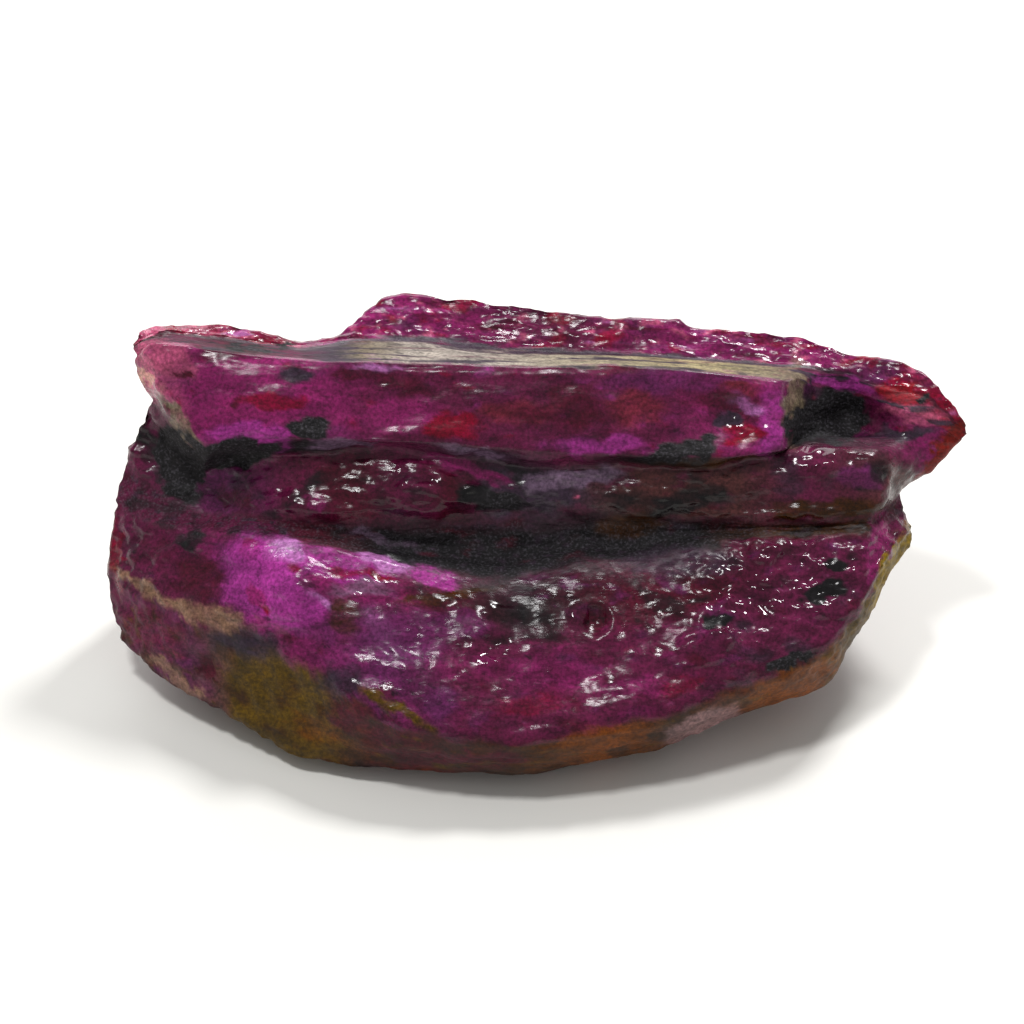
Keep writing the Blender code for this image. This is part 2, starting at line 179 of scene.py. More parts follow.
# Flat fracture faces of the back, the stone as it stands: a point on the face in
# millimetres, and the direction it faces.
FRACTURES = (
    ((0.0, 28.3, 10.0), (0.06, 0.98, -0.16)),
    ((-22.0, 24.6, 10.0), (-0.55, 0.83, 0.02)),
    ((22.0, 24.8, 11.0), (0.36, 0.92, -0.14)),
    ((-22.0, 14.0, 0.5), (-0.24, 0.05, -0.97)),
    ((17.0, 14.0, 2.0), (0.50, -0.05, -0.86)),
)

# Slanting directions in which the chipped relief folds, each with its pitch in millimetres
# and its share of the relief's height.
CHIP_FOLDS = (
    ((0.62, 0.45, 0.64), 7.3, 0.40),
    ((-0.50, 0.81, 0.31), 5.1, 0.32),
    ((0.88, -0.30, -0.37), 9.7, 0.28),
)

# Pits and lumps of the front in millimetres: place along the length and up the face,
# width, and height, which is negative for a pit.
BLISTERS = (
    (4.0, 10.9, 2.6, -0.9),
    (-3.2, 9.2, 2.4, -0.6),
    (13.6, 25.2, 2.8, -0.9),
    (-23.3, 7.6, 2.0, -0.9),
    (15.9, 15.4, 3.0, 0.5),
    (12.3, 8.9, 3.4, 0.7),
    (-17.0, 13.2, 4.4, 0.8),
    (-9.0, 20.2, 4.2, 0.6),
    (19.5, 21.5, 3.6, 0.5),
    (21.3, 25.4, 3.6, -0.8),
)

# Raised rims around the apron's craters in millimetres: place along the length and up the
# face, radius, thickness and height.
RIMS = (
    (4.0, 10.9, 1.3, 0.3, 0.25),
    (-3.3, 9.0, 1.2, 0.4, 0.18),
    (16.0, 15.9, 0.8, 0.25, 0.12),
)

# Wet, hackly places that glint, in millimetres: place along the length and up the face, half
# width and half height, and strength.
WET_PLACES = (
    (-18.3, 19.1, 2.0, 0.8, 1.0),
    (-7.7, 19.9, 4.2, 1.6, 1.0),
    (-0.1, 20.7, 1.0, 0.8, 1.0),
    (3.2, 20.9, 2.2, 0.6, 0.7),
    (19.8, 22.2, 2.2, 1.3, 0.9),
    (-12.8, 27.4, 0.7, 0.3, 0.7),
    (-10.1, 27.2, 1.3, 0.3, 0.8),
    (14.8, 24.7, 2.0, 1.2, 0.8),
    (2.8, 11.2, 0.8, 1.0, 0.9),
    (-3.3, 9.0, 2.0, 1.6, 0.9),
    (-4.8, 11.9, 4.0, 0.9, 0.7),
    (12.6, 9.2, 1.4, 1.4, 1.0),
    (17.5, 13.8, 5.6, 3.0, 0.9),
    (-24.4, 16.2, 1.2, 0.5, 0.9),
    (-16.4, 13.0, 2.2, 0.7, 0.6),
    (22.0, 17.6, 2.0, 0.7, 0.5),
    (-12.2, 13.2, 3.0, 0.9, 0.8),
    (-11.0, 15.2, 2.0, 0.6, 0.6),
    (13.5, 11.8, 3.0, 1.6, 0.9),
    (10.0, 19.2, 2.4, 0.6, 0.7),
)

# Rows of the grid between neighbouring contour lines, and how far each line's bend is
# rounded off, as a share of the gap to the next line.
FRONT_ROWS = (24, 22, 20, 20, 10, 22, 14, 16, 30, 30, 8, 10)
BACK_ROWS = (10, 28, 28, 14, 22, 11)
FRONT_BENDS = (0.0, 0.2, 0.12, 0.5, 0.14, 0.3, 0.45, 0.5, 0.3, 0.5, 0.4, 0.4, 0.0)
BACK_BENDS = (0.0, 0.3, 0.5, 0.4, 0.3, 0.3, 0.0)

# How far a line's corners are rounded in millimetres, how strongly columns crowd at the ends,
# over which share of the length the back swings out of the seam, how often it is eased, and
# over which share of the back the front's pattern fades, from where in that share.
LINE_ROUNDING = 0.35
END_CROWDING = 0.3
END_CAP = 0.12
BACK_EASING = 3
SEAM_FADE = 0.12
SEAM_START = 0.1

# The relief that the solid has too, in millimetres: the back's ledges, and the chips' height.
# It stands out from a core line, whose reach along the length is a share of the stone's, and
# rises from the seam at a slope in shares of the way round the back.
LEDGE_PITCH = 4.6
LEDGE_DEPTH = 0.7
LEDGE_WAVE = 0.8
FRONT_CHIPS = 0.45
BACK_CHIPS = 1.0
CORE = (0.0, 13.0, 10.0)
CORE_REACH = 0.35
BACK_SLOPE = 9

# Zones of the front: name, first and last line number, how soft its borders are, roughness,
# grit, and ground colours from left to right by place along the length in millimetres.
ZONES = (
    ("wall", -0.5, 0.92, 0.06, 0.16, 0.25, (
        (-28, "rose"), (-20, "crimson"), (-14, "magenta"), (-6, "magenta"), (2, "plum"),
        (12, "magenta"), (20, "magenta"), (24, "plum"), (28, "crimson"))),
    ("valley", 0.92, 1.1, 0.06, 0.35, 0.5, (
        (-28, "wine"), (-18, "slate"), (17, "slate"), (28, "wine"))),
    # The top face's pale and straw stops are partly its own pale colour and partly a painted
    # grazing sheen, a reflection of the bright surroundings behind.
    ("top face", 1.1, 1.95, 0.05, 0.7, 0.5, (
        (-28, "rose"), (-26, "plum"), (-21, "wine"), (-17.5, "plum"), (-14.5, "slate"),
        (-12, "drab"), (-9, "pale_face_and_sheen"), (-4, "pale_face_and_sheen"), (9, "straw_and_sheen"), (13, "straw_and_sheen"), (17, "drab"),
        (18.5, "plum"), (22, "magenta"), (25, "plum"), (28, "crimson"))),
    ("slab", 1.95, 4.05, 0.04, 0.24, 0.15, (
        (-28, "rose"), (-24, "magenta"), (-16, "magenta"), (-10, "plum"), (-2, "plum"), (8, "plum"),
        (16, "magenta"), (18.5, "slate"), (23, "plum"), (29, "magenta"))),
    ("undercut", 4.05, 4.9, 0.15, 0.5, 0.5, (
        (-28, "plum"), (-22, "mineral"), (-15, "mineral"), (-11, "plum"), (-3, "slate"),
        (2, "plum"), (7, "mineral"), (13, "umber"), (19, "mineral"), (26, "plum"))),
    ("ledge", 4.9, 6.4, 0.3, 0.2, 0.25, (
        (-28, "plum"), (-22, "violet"), (-18, "plum"), (-13, "wine"), (-9, "plum"), (-6, "wine"),
        (-3, "slate"), (2, "slate"), (6, "cocoa"), (14, "cocoa"), (19, "plum"), (25, "cocoa"))),
    ("groove", 6.4, 8.1, 0.35, 0.8, 0.8, (
        (-28, "plum"), (-22, "plum"), (-16, "wine"), (-11, "mineral"), (11, "mineral"),
        (17, "umber"), (23, "umber"), (26, "plum"))),
    ("apron top", 8.1, 8.9, 0.35, 0.2, 0.3, (
        (-28, "plum"), (-20, "magenta"), (-12, "magenta"), (-7, "wine"), (-1, "mineral"),
        (6, "wine"), (12, "wine"), (18, "plum"), (24, "plum"))),
    ("apron", 8.9, 10.3, 0.3, 0.18, 0.2, (
        (-29, "plum"), (-26, "plum"), (-22, "plum"), (-18, "magenta"), (-11, "violet"),
        (-5, "plum"), (5, "plum"), (12, "plum"), (20, "plum"))),
    # The strip's olive, amber and moss are partly the skin's own colour and partly a painted
    # reflection of yellow ground below the downward-facing hem.
    ("strip", 10.3, 14.0, 0.12, 0.5, 0.3, (
        (-29, "plum"), (-25, "violet"), (-21, "olive_and_reflection"), (-15, "olive_and_reflection"), (-11, "wine"),
        (-2, "umber"), (5, "amber_and_reflection"), (10, "umber"), (15, "amber_and_reflection"), (20, "amber_and_reflection"), (22, "olive_and_reflection"),
        (26, "olive_and_reflection"))),
)

# Mottles zone by zone: colour, noise pattern, where it starts and is full, and strength. A minus
# takes the pattern's hollows.
MOTTLES = (
    ("wall", (
        # The wall's rose flecks are partly its own rosy colour and partly painted glints; its lilac
        # streaks are painted glints.
        ("crimson", "mid", 0.0, 0.6, 0.7), ("violet", "big", 0.15, 0.7, 0.5),
        ("rose", "small", 0.2, 0.8, 0.7), ("wine", "-streaks", 0.3, 0.8, 0.7),
        ("lilac_highlight", "streaks", 0.3, 0.9, 0.45))),
    ("top face", (
        ("slate", "-streaks", 0.05, 0.4, 0.95), ("mineral", "-small", 0.5, 0.9, 0.6),
        ("plum", "streaks", 0.35, 0.7, 0.6), ("mineral", "-flecks", 0.2, 0.7, 0.5))),
    ("slab", (
        ("violet", "big", 0.15, 0.7, 0.45), ("bright", "mid", 0.35, 0.9, 0.4),
        ("wine", "-big", 0.1, 0.7, 0.7), ("crimson", "-mid", 0.35, 0.9, 0.45),
        ("mineral", "-small", 0.6, 1.0, 0.5), ("slate", "-flecks", 0.4, 0.9, 0.4))),
    ("ledge", (
        ("plum", "mid", 0.1, 0.7, 0.5), ("mineral", "-big", 0.0, 0.5, 0.8),
        ("wine", "small", 0.3, 0.9, 0.5), ("slate", "big", 0.3, 0.8, 0.5))),
    ("groove", (
        ("mineral", "-mid", 0.0, 0.5, 0.6), ("slate", "small", 0.1, 0.7, 0.6),
        ("wine", "mid", 0.2, 0.8, 0.5))),
    ("apron top", (
        ("mineral", "-mid", 0.2, 0.7, 0.6), ("violet", "mid", 0.2, 0.7, 0.5))),
    ("apron", (
        ("magenta", "big", 0.15, 0.7, 0.5), ("wine", "-mid", 0.1, 0.7, 0.6),
        ("violet", "mid", 0.3, 0.8, 0.45), ("crimson", "small", 0.4, 0.9, 0.4),
        ("slate", "-big", 0.2, 0.8, 0.6), ("mineral", "-small", 0.45, 0.9, 0.6),
        # Lilac mottles of the apron: painted glints.
        ("lilac_highlight", "small", 0.55, 1.0, 0.3), ("mineral", "-flecks", 0.3, 0.9, 0.4))),
    # Olive and amber mottles of the strip: partly the skin's own colour, partly painted reflection
    # of yellow ground below.
    ("strip", (
        ("umber", "-mid", 0.1, 0.6, 0.7), ("wine", "-big", 0.3, 0.8, 0.5),
        ("amber_and_reflection", "big", 0.3, 0.9, 0.3), ("olive_and_reflection", "streaks", 0.1, 0.6, 0.5),
        ("mineral", "-streaks", 0.4, 0.9, 0.5))),
    ("back", (
        ("magenta", "big", 0.0, 0.6, 0.6), ("wine", "-mid", 0.1, 0.8, 0.6),
        ("violet", "mid", 0.2, 0.8, 0.5), ("umber", "streaks", 0.2, 0.8, 0.6),
        ("mineral", "-big", 0.35, 0.7, 0.9), ("crimson", "small", 0.4, 0.9, 0.5),
        # Lilac streaks of the back: painted glints.
        ("lilac_highlight", "streaks", 0.5, 1.0, 0.3), ("slate", "-mid", 0.3, 0.9, 0.6))),
)

# Colour marks of the front, most of them the stone's own colour and some painted sheen, glints and
# reflection: name, colour, place along the length and up the leaning face, half width and half
# height in millimetres, turn in degrees, and strength.
MARKS = (
    ("peach lip", "peach", -27.6, 28.2, 0.4, 1.2, 10, 0.6),
    ("rose end", "rose", -25.6, 29.0, 1.8, 1.4, 0, 0.5),
    ("wine spot in the end", "wine", -25.0, 28.2, 0.6, 0.5, 0, 0.8),
    ("drab edge of the end", "drab", -25.2, 25.0, 0.5, 2.8, 34, 0.7),
    ("bright band of the slab", "magenta", -18.0, 26.6, 5.2, 2.0, -8, 0.8),
    ("bright foot of the slab", "bright", -20.4, 24.0, 3.2, 1.0, 0, 0.8),
    ("crimson streak", "crimson", -18.6, 26.3, 3.4, 0.8, 0, 0.9),
    ("dark heart of the streak", "wine", -19.0, 26.0, 1.0, 0.4, 0, 0.9),
    ("dark left heart of the streak", "wine", -20.9, 26.2, 1.0, 0.4, 0, 0.8),
    ("slate cloud in the slab", "slate", -16.9, 28.1, 1.5, 0.7, 0, 0.8),
    ("wine cloud in the slab", "wine", -12.8, 28.2, 1.6, 0.6, 0, 0.7),
    ("black blot under the slab", "mineral", -16.1, 24.4, 2.0, 1.0, 0, 0.95),
    # The lilac marks stand in for painted highlights and glints on the wet skin.
    ("lilac haze", "lilac_highlight", -11.3, 28.7, 2.0, 0.6, 0, 0.45),
    ("crimson blot", "crimson", -6.0, 24.7, 2.2, 1.0, 0, 0.95),
    ("magenta cloud by the blot", "magenta", -9.5, 25.4, 3.0, 1.4, 0, 0.7),
    ("brown cloud in the slab", "brown", -1.8, 25.6, 2.8, 1.1, 0, 0.5),
    ("small brown cloud", "brown", 1.4, 25.9, 1.1, 0.5, 0, 0.5),
    ("round red-brown cloud", "brown", 6.8, 25.8, 2.4, 1.5, 0, 0.6),
    ("red-brown cloud near the step", "brown", 14.4, 27.3, 1.7, 0.7, 0, 0.7),
    ("bright low slab", "bright", 4.6, 23.2, 3.8, 0.7, 0, 0.6),
    ("violet top of the slab", "violet", 9.5, 27.7, 6.5, 0.9, 0, 0.55),
    ("slate pit", "slate", 13.4, 24.9, 1.0, 0.8, 0, 0.9),
    ("crimson by the pit", "crimson", 14.5, 24.0, 1.7, 0.8, 0, 0.8),
    ("lilac by the pit", "lilac_highlight", 14.9, 26.0, 1.5, 0.7, -20, 0.6),
    ("bright end of the slab", "bright", 16.3, 24.8, 1.1, 2.6, 0, 0.6),
    ("smear under the slab", "mineral", 9.9, 22.8, 3.2, 0.8, 8, 0.9),
    ("fibrous step", "drab", 18.1, 26.2, 0.9, 3.4, 0, 0.7),
    ("black left of the slab", "mineral", -25.2, 22.0, 1.9, 3.2, 18, 1.0),
    ("black under the end", "mineral", -21.4, 22.7, 3.4, 1.1, 8, 1.0),
    ("plum fleck in the black", "plum", -26.0, 24.3, 1.0, 1.0, 0, 0.5),
    ("black right of the slab", "mineral", 20.8, 25.3, 2.7, 2.0, 0, 1.0),
    ("black strip of the top face", "mineral", -19.8, 30.1, 3.2, 0.25, 0, 0.7),
    ("black by the step", "mineral", 18.6, 24.6, 1.4, 1.7, 0, 0.9),
    ("bright strip over the black", "bright", 21.2, 27.6, 2.3, 0.6, -12, 0.9),
    ("red cap of the beak", "red", 25.3, 26.9, 1.7, 0.9, -12, 0.95),
    ("violet side of the beak", "violet", 23.6, 28.3, 2.4, 0.7, -8, 0.5),
    ("dark spot of the cap", "mineral", 27.0, 26.3, 0.6, 0.4, 0, 0.9),
    # Rose beak: painted pink glints on the beak.
    ("rose beak", "rose", 26.4, 25.4, 2.4, 0.7, -10, 0.5),
    ("slate band of the beak", "slate", 25.8, 24.1, 2.9, 0.5, 4, 0.8),
    ("purple facet of the beak", "magenta", 26.9, 22.8, 1.4, 1.2, 0, 0.7),
    ("red underside of the beak", "rust", 28.6, 22.9, 0.7, 3.2, -38, 0.95),
    ("violet of the right ledge", "violet", 22.6, 21.0, 1.8, 0.9, 0, 0.6),
    ("brown band of the ledge", "umber", 20.5, 18.8, 4.4, 0.8, 2, 0.8),
    ("wine under the black", "wine", -21.0, 19.4, 1.5, 1.4, 0, 0.5),
    ("wine in the ledge", "wine", -14.2, 20.6, 2.0, 1.2, 0, 0.6),
    # Lilac-grey here is a painted sheen on the wet ledge.
    ("grey gloss in the ledge", "sheen_grey", -0.2, 20.6, 1.4, 0.8, 0, 0.7),
    ("rose fleck of the field", "rose", -18.6, 13.2, 0.6, 0.4, -20, 0.6),
    ("lilac fleck of the field", "lilac_highlight", -15.4, 12.4, 1.6, 0.5, -30, 0.5),
    ("crimson fleck of the field", "crimson", -17.0, 14.6, 0.7, 0.4, 0, 0.7),
    ("dark fleck of the field", "wine", -18.8, 16.2, 1.4, 0.3, -10, 0.6),
    ("violet side of the field", "violet", -15.8, 10.4, 2.0, 1.2, -20, 0.6),
    ("magenta streak under the slab", "magenta", -4.9, 21.6, 3.6, 0.5, -20, 0.85),
    # The lilac-grey edges under the slab and along the ledge are painted highlights on the edges;
    # the grey sheen of the ledge is painted too.
    ("grey-lilac edge under the slab", "sheen_grey", -4.6, 22.8, 2.8, 0.35, -10, 0.7),
    ("grey edge of the ledge", "sheen_grey", -13.6, 23.3, 2.4, 0.4, 0, 0.6),
    ("grey sheen of the ledge", "sheen_grey", 2.6, 21.0, 3.2, 0.8, 4, 0.9),
    ("magenta fleck of the ledge", "magenta", -15.6, 19.2, 0.9, 0.6, 0, 0.7),
    ("dark side of the ledge", "mineral", -3.2, 19.4, 3.2, 0.9, -12, 0.9),
    ("brown end of the groove", "umber", 6.4, 17.8, 2.4, 1.0, 10, 0.7),
    ("pink dot", "rose", 2.4, 19.5, 0.3, 0.3, 0, 0.9),
    ("bright field of the apron", "bright", -19.6, 14.0, 3.0, 3.4, 20, 0.9),
    ("bright streak of the apron", "bright", -14.5, 14.8, 4.8, 1.0, -10, 0.7),
    ("lilac light", "lilac_highlight", -17.9, 15.6, 2.1, 1.1, -12, 0.8),
    ("crimson fleck", "crimson", -20.3, 15.8, 0.8, 1.0, 0, 0.8),
    ("crimson vein", "crimson", -19.7, 12.4, 0.9, 1.6, 15, 0.9),
    ("bright foot of the field", "bright", -17.3, 11.7, 2.6, 1.7, 0, 0.7),
    ("lilac streak", "lilac_highlight", -10.9, 15.0, 2.2, 0.6, -10, 0.7),
    ("magenta shoulder", "bright", -7.4, 13.9, 2.0, 0.8, -14, 0.7),
    ("crimson vein under the streak", "crimson", -12.6, 14.2, 3.2, 0.4, -8, 0.8),
    ("brown vein", "umber", -6.4, 12.6, 4.0, 0.4, 8, 0.7),
    # Grey haze and grey edge of the groove: painted sheen on wet places of the apron.
    ("grey haze", "sheen_grey", -12.2, 13.1, 2.6, 0.7, 0, 0.5),
    ("grey edge of the groove", "sheen_grey", -11.0, 16.6, 2.6, 0.4, -14, 0.5),
    ("violet haze", "violet", -5.6, 10.6, 2.4, 1.2, 0, 0.6),
    ("violet cheek", "violet", -9.6, 9.6, 3.6, 2.4, 0, 0.6),
    ("lilac cheek", "lilac_highlight", -10.8, 9.8, 0.9, 2.2, 30, 0.4),
    ("dark hollow", "umber", -13.6, 11.0, 1.4, 1.7, 20, 0.6),
    ("violet spot", "violet", -6.9, 5.2, 1.6, 1.2, 0, 0.8),
    ("crimson low apron", "crimson", -0.6, 5.0, 3.2, 1.0, 6, 0.36),
    ("magenta low apron", "magenta", 1.0, 7.2, 4.0, 1.4, 0, 0.5),
    ("crimson right apron", "crimson", 10.2, 6.4, 2.0, 1.0, 20, 0.33),
    ("black pit of the apron", "mineral", 20.2, 12.8, 2.0, 0.7, 10, 0.85),
    ("upper black pit", "mineral", 21.0, 14.8, 0.9, 0.8, 0, 0.7),
    ("black fleck", "mineral", 12.8, 10.9, 1.2, 0.5, 20, 0.8),
    ("black streak by the foot", "mineral", 17.6, 7.9, 2.3, 0.5, 14, 0.95),
    ("wine floor of the crater", "wine", 4.1, 10.8, 1.0, 0.9, 0, 0.8),
    ("magenta corner", "magenta", 23.8, 15.8, 0.8, 3.0, -10, 0.7),
    ("crimson left edge", "crimson", -29.6, 15.6, 0.5, 3.2, 0, 0.6),
    ("dusky flank", "wine", -26.6, 16.2, 1.8, 2.2, 0, 0.25),
    ("dark hollow of the flank", "mineral", -24.4, 16.6, 1.3, 0.8, 0, 0.6),
    ("wine side of the flank", "wine", -24.0, 13.8, 1.6, 1.8, 0, 0.6),
    ("tan line", "tan", -26.6, 12.6, 4.6, 0.45, -32, 0.7),
    ("tan cloud", "tan", -22.4, 11.2, 2.8, 0.8, -18, 0.6),
    ("brown under the line", "brown", -26.3, 10.0, 2.6, 2.0, -30, 0.4),
    ("slate flat", "slate", -20.4, 9.3, 2.8, 1.2, -10, 0.8),
    ("wine pit", "wine", -23.3, 7.6, 0.8, 0.8, 0, 0.9),
    ("tan hem", "tan", -25.6, 7.0, 3.0, 0.5, -38, 0.6),
    ("slate patch", "slate", -13.8, 6.6, 1.7, 1.3, 0, 0.7),
    ("wine patch", "wine", -13.2, 4.2, 1.7, 1.2, -30, 0.8),
    # Amber and olive marks of the hem: partly the skin's own colour, partly painted reflection of
    # yellow ground below.
    ("amber patch", "amber_and_reflection", -15.6, 3.2, 2.4, 1.1, -20, 0.4),
    ("olive seam", "olive_and_reflection", -10.0, 4.7, 3.4, 0.5, -32, 0.7),
    ("wine hem", "wine", -5.0, 1.2, 5.0, 0.6, 0, 0.7),
    ("amber strip", "amber_and_reflection", 4.5, 2.6, 4.0, 0.8, 8, 0.6),
    ("lavender patch", "lavender", 11.6, 3.6, 3.0, 1.1, 20, 0.9),
    ("dusk under the groove", "slate", 10.0, 14.9, 5.0, 1.3, -2, 0.55),
    # Amber corner and moss strip: partly the skin's own colour, partly painted reflection of yellow
    # ground below.
    ("amber corner", "amber_and_reflection", 18.4, 6.6, 3.2, 0.9, 16, 0.8),
    ("mossy right strip", "moss_and_reflection", 24.9, 14.4, 0.9, 4.0, -24, 0.9),
)

# Random numbers: odd factors that mix a lattice place with its seed, and the folds' shifts
# and factors. The seeds of a pattern's slopes, octaves and cells stand these steps apart.
PLACE_FACTORS = (73856093, 19349663, 83492791)
SEED_FACTOR = 40503001
FOLDS = ((15, 2246822519), (13, 3266489917))
LAST_SHIFT = 16
LOW_BITS = 0xFFFFFFFF
SLOPE_SEEDS = 3
OCTAVE_SEEDS = 11
CELL_SEEDS = 7
NOISE_GAIN = 1.6
FAR_OFF = 9.0
LEAST_LENGTH = 1e-12

# Noises of the fine relief and of the colours: name, lump size along the length, up the
# leaning face and out of it in millimetres, seed and octaves.
RELIEF_NOISES = (
    ("soft", (5.0, 3.0, 3.0), 1, 3),
    ("waves", (2.6, 1.5, 1.5), 2, 3),
    ("grain", (0.7, 0.45, 0.45), 3, 1),
    ("lines", (7.0, 0.45, 0.45), 4, 1),
)
COLOUR_NOISES = (
    ("big", (5.0, 3.0, 3.0), 21, 3),
    ("mid", (2.2, 1.3, 1.3), 22, 3),
    ("small", (0.9, 0.55, 0.55), 23, 2),
    ("streaks", (9.0, 0.55, 0.9), 24, 3),
    ("flecks", (0.5, 0.32, 0.32), 27, 2),
    ("drift along", (1.8, 1.2, 1.2), 25, 4),
    ("drift up", (1.8, 1.2, 1.2), 26, 4),
)

# Cells of the fine relief: name, size in millimetres and seed. Scallops rise from each
# cell's seed to its border; chips are tilted planes, bevelled where two cells meet.
SCALLOPS = (("scallops", (1.3, 0.85, 0.85), 5), ("tiny scallops", (0.8, 0.5, 0.5), 7))
CHIPS = ((4.2, 2.8, 2.8), 6)
CHIP_REACH = 1.2
CHIP_BEVEL = 0.35

# Fine relief zone by zone: first and last line number, how soft its borders are, and the
# patterns with their heights in millimetres.
RELIEF = (
    ("wall", -1.0, 0.9, 0.1, (
        ("scallops", 0.20), ("waves", 0.12), ("grain", 0.07), ("lines", 0.05))),
    ("top face", 1.1, 1.9, 0.1, (("lines", 0.10), ("waves", 0.03))),
    ("slab", 2.0, 4.0, 0.1, (("soft", 0.18), ("waves", 0.06), ("lines", 0.02), ("grain", 0.02))),
    ("ledge", 4.2, 6.3, 0.2, (
        ("soft", 0.34), ("waves", 0.15), ("scallops", 0.08), ("grain", 0.08))),
    ("groove", 6.3, 7.8, 0.2, (("soft", 0.30), ("waves", 0.12), ("grain", 0.05))),
    ("apron", 7.8, 10.0, 0.2, (
        ("chipped", 0.22), ("soft", 0.18), ("waves", 0.07), ("grain", 0.05))),
    ("strip", 10.0, 13.0, 0.2, (("lines", 0.14), ("waves", 0.12), ("grain", 0.05))),
)
BACK_RELIEF = (
    ("chipped", 0.45), ("scallops", 0.20), ("lines", 0.08), ("waves", 0.14), ("grain", 0.05))
RIGHT_APRON_RELIEF = (("scallops", 0.18), ("waves", 0.12), ("grain", 0.06))
WET_RELIEF = (("scallops", 0.20), ("waves", 0.14), ("tiny scallops", 0.16))
LEFT_END_RELIEF = (("scallops", 0.22), ("waves", 0.10))

# Where the relief of the right apron and of the left end fades along the length, where all
# of it fades above the ground, in millimetres, and where gloss and marks fade, in shares of
# their ellipses.
RIGHT_APRON = (5.0, 14.0)
LEFT_END = (-27.0, -23.0)
FOOT_FADE = (0.02, 0.6)
GLOSS_EDGE = (0.5, 1.3)
MARK_EDGE = (0.55, 1.25)

# Painting: how far marks drift in millimetres, and how far zones' borders waver in lines.
DRIFT_ALONG = 0.65
DRIFT_UP = 0.45
LOW_BORDERS = (4.0, 5.0)
LOW_WAVER = 0.22
TOP_FACE_BORDERS = (0.6, 2.6, 0.3)
TOP_FACE_WAVER = 0.12
SMALL_WAVER = 0.05

# How much of a mottle or mark tints the ground too, how far mottles yield to marks, how
# softly patches meet, and the least share that counts.
GROUND_TINT = 0.5
MOTTLE_YIELD = 0.85
PATCH_EASE = 0.2
LEAST_SHARE = 0.01

# Roughness and grit of the back and of the black mineral, whose edges are tighter; the
# roughness of wet places, how much they lose of their grit, and how far roughness drifts.
BACK_FINISH = (0.24, 0.25)
MINERAL_FINISH = (0.75, 0.9)
MINERAL_EDGE = (0.15, 0.85)
WET_ROUGHNESS = 0.1
WET_SMOOTHING = 0.8
ROUGHNESS_DRIFT = 0.05
ROUGHNESS_LIMITS = (0.08, 0.9)

# Noises of the finish: cells a metre, detail and roughness. Ranges: from low and high to
# least and most. Weights: how much of a noise is added to the share or the pits. Then the pits'
# cells a metre, how patterns are scaled along the layers, the bump's height in metres, and the
# index of refraction.
EDGE_NOISE, EDGE_RANGE, EDGE_WEIGHT = (1300.0, 7.0, 0.62), (0.82, 1.48, 0.0, 1.0), 1.3
FLECK_NOISE, FLECK_RANGE = (4200.0, 3.0, 0.6), (0.3, 0.7, 0.55, 1.45)
CLOUD_NOISE, CLOUD_RANGE = (800.0, 5.0, 0.62), (0.3, 0.7, 0.6, 1.4)
VEIN_NOISE, VEIN_RANGE = (420.0, 6.0, 0.6), (0.0, 0.03, 0.68, 1.0)
# Painted glints: fine grey specks laid in the colour where the grit is coarse, standing in for
# glints on the black mineral.
GLINT_SPECK_NOISE, GLINT_SPECK_RANGE = (5200.0, 3.0, 0.6), (0.5, 0.75, 0.0, 1.0)
GLINT_SPECK_COLOUR = (0.22, 0.20, 0.24, 1.0)
GRITTY_RANGE = (0.5, 0.85, 0.0, 0.3)
GLOSS_NOISE, GLOSS_RANGE = (700.0, 5.0, 0.65), (0.3, 0.7, -0.12, 0.12)
GRAIN_NOISE, GRAIN_WEIGHT = (2400.0, 5.0, 0.6), 2.0
PIT_CELLS = 3600.0
LEAF_STRETCH = (0.45, 1, 1)
BUMP_HEIGHT = 0.00006
SKIN_INDEX = 1.36

# The sRGB curve: where its straight part ends, that part's slope, and the rest's offset and power
STRAIGHT_END = 0.04045
STRAIGHT_SLOPE = 12.92
CURVE_OFFSET = 0.055
CURVE_POWER = 2.4

# The stage in metres: the lights' places and sizes, what they face, and half the floor's
# side. Then the floor's roughness, the camera's sensor in millimetres, and the columns of the
# coarse grid that it is aimed by.
LIGHTS = (
    ("key", (0.22, 0.34, 0.52), 0.11),
    ("back", (-0.05, 0.70, 0.36), 0.45),
    ("overhead", (-0.16, -0.02, 0.68), 0.10),
)
LIT_PLACE = (0, 0, 0.01)
FLOOR_REACH = 0.9
FLOOR_ROUGHNESS = 0.6
SENSOR_WIDTH = 36.0
AIMING_COLUMNS = 40


def hashed(cells, seed):
    """Return an even random number from 0 to 1 for each whole-numbered lattice place.

    The place's three numbers are mixed with large odd factors, then folded: shifted onto
    themselves and multiplied, twice, and shifted once more.
    """
    mixed = seed * SEED_FACTOR
    for i, factor in enumerate(PLACE_FACTORS):
        mixed = mixed ^ (cells[..., i].astype(np.int64) * factor)
    mixed &= LOW_BITS
    for shift, factor in FOLDS:
        mixed = ((mixed ^ (mixed >> shift)) * factor) & LOW_BITS
    return ((mixed ^ (mixed >> LAST_SHIFT)) & LOW_BITS) / LOW_BITS


def noise(points, size, seed):
    """Return soft noise from about -1 to 1, whose lumps are about as large as size.

    Each lattice corner has a random slope. The slopes' heights at the point are mixed by its
    eased way across the cell: six fifth powers less fifteen fourth powers plus ten cubes.
    """
    scaled = points / np.array(size)
    base = np.floor(scaled)
    part = scaled - base
    ease = part ** 3 * (part * (part * 6 - 15) + 10)
    total = np.zeros(points.shape[:-1])
    for corner in np.ndindex(2, 2, 2):
        step = np.array(corner)
        weight = np.prod(np.where(step, ease, 1 - ease), axis=-1)
        slopes = [hashed(base + step, seed * SLOPE_SEEDS + i) for i in range(3)]
        slope = np.stack(slopes, axis=-1) * 2 - 1
        total += weight * np.sum(slope * (part - step), axis=-1)
    return total * NOISE_GAIN


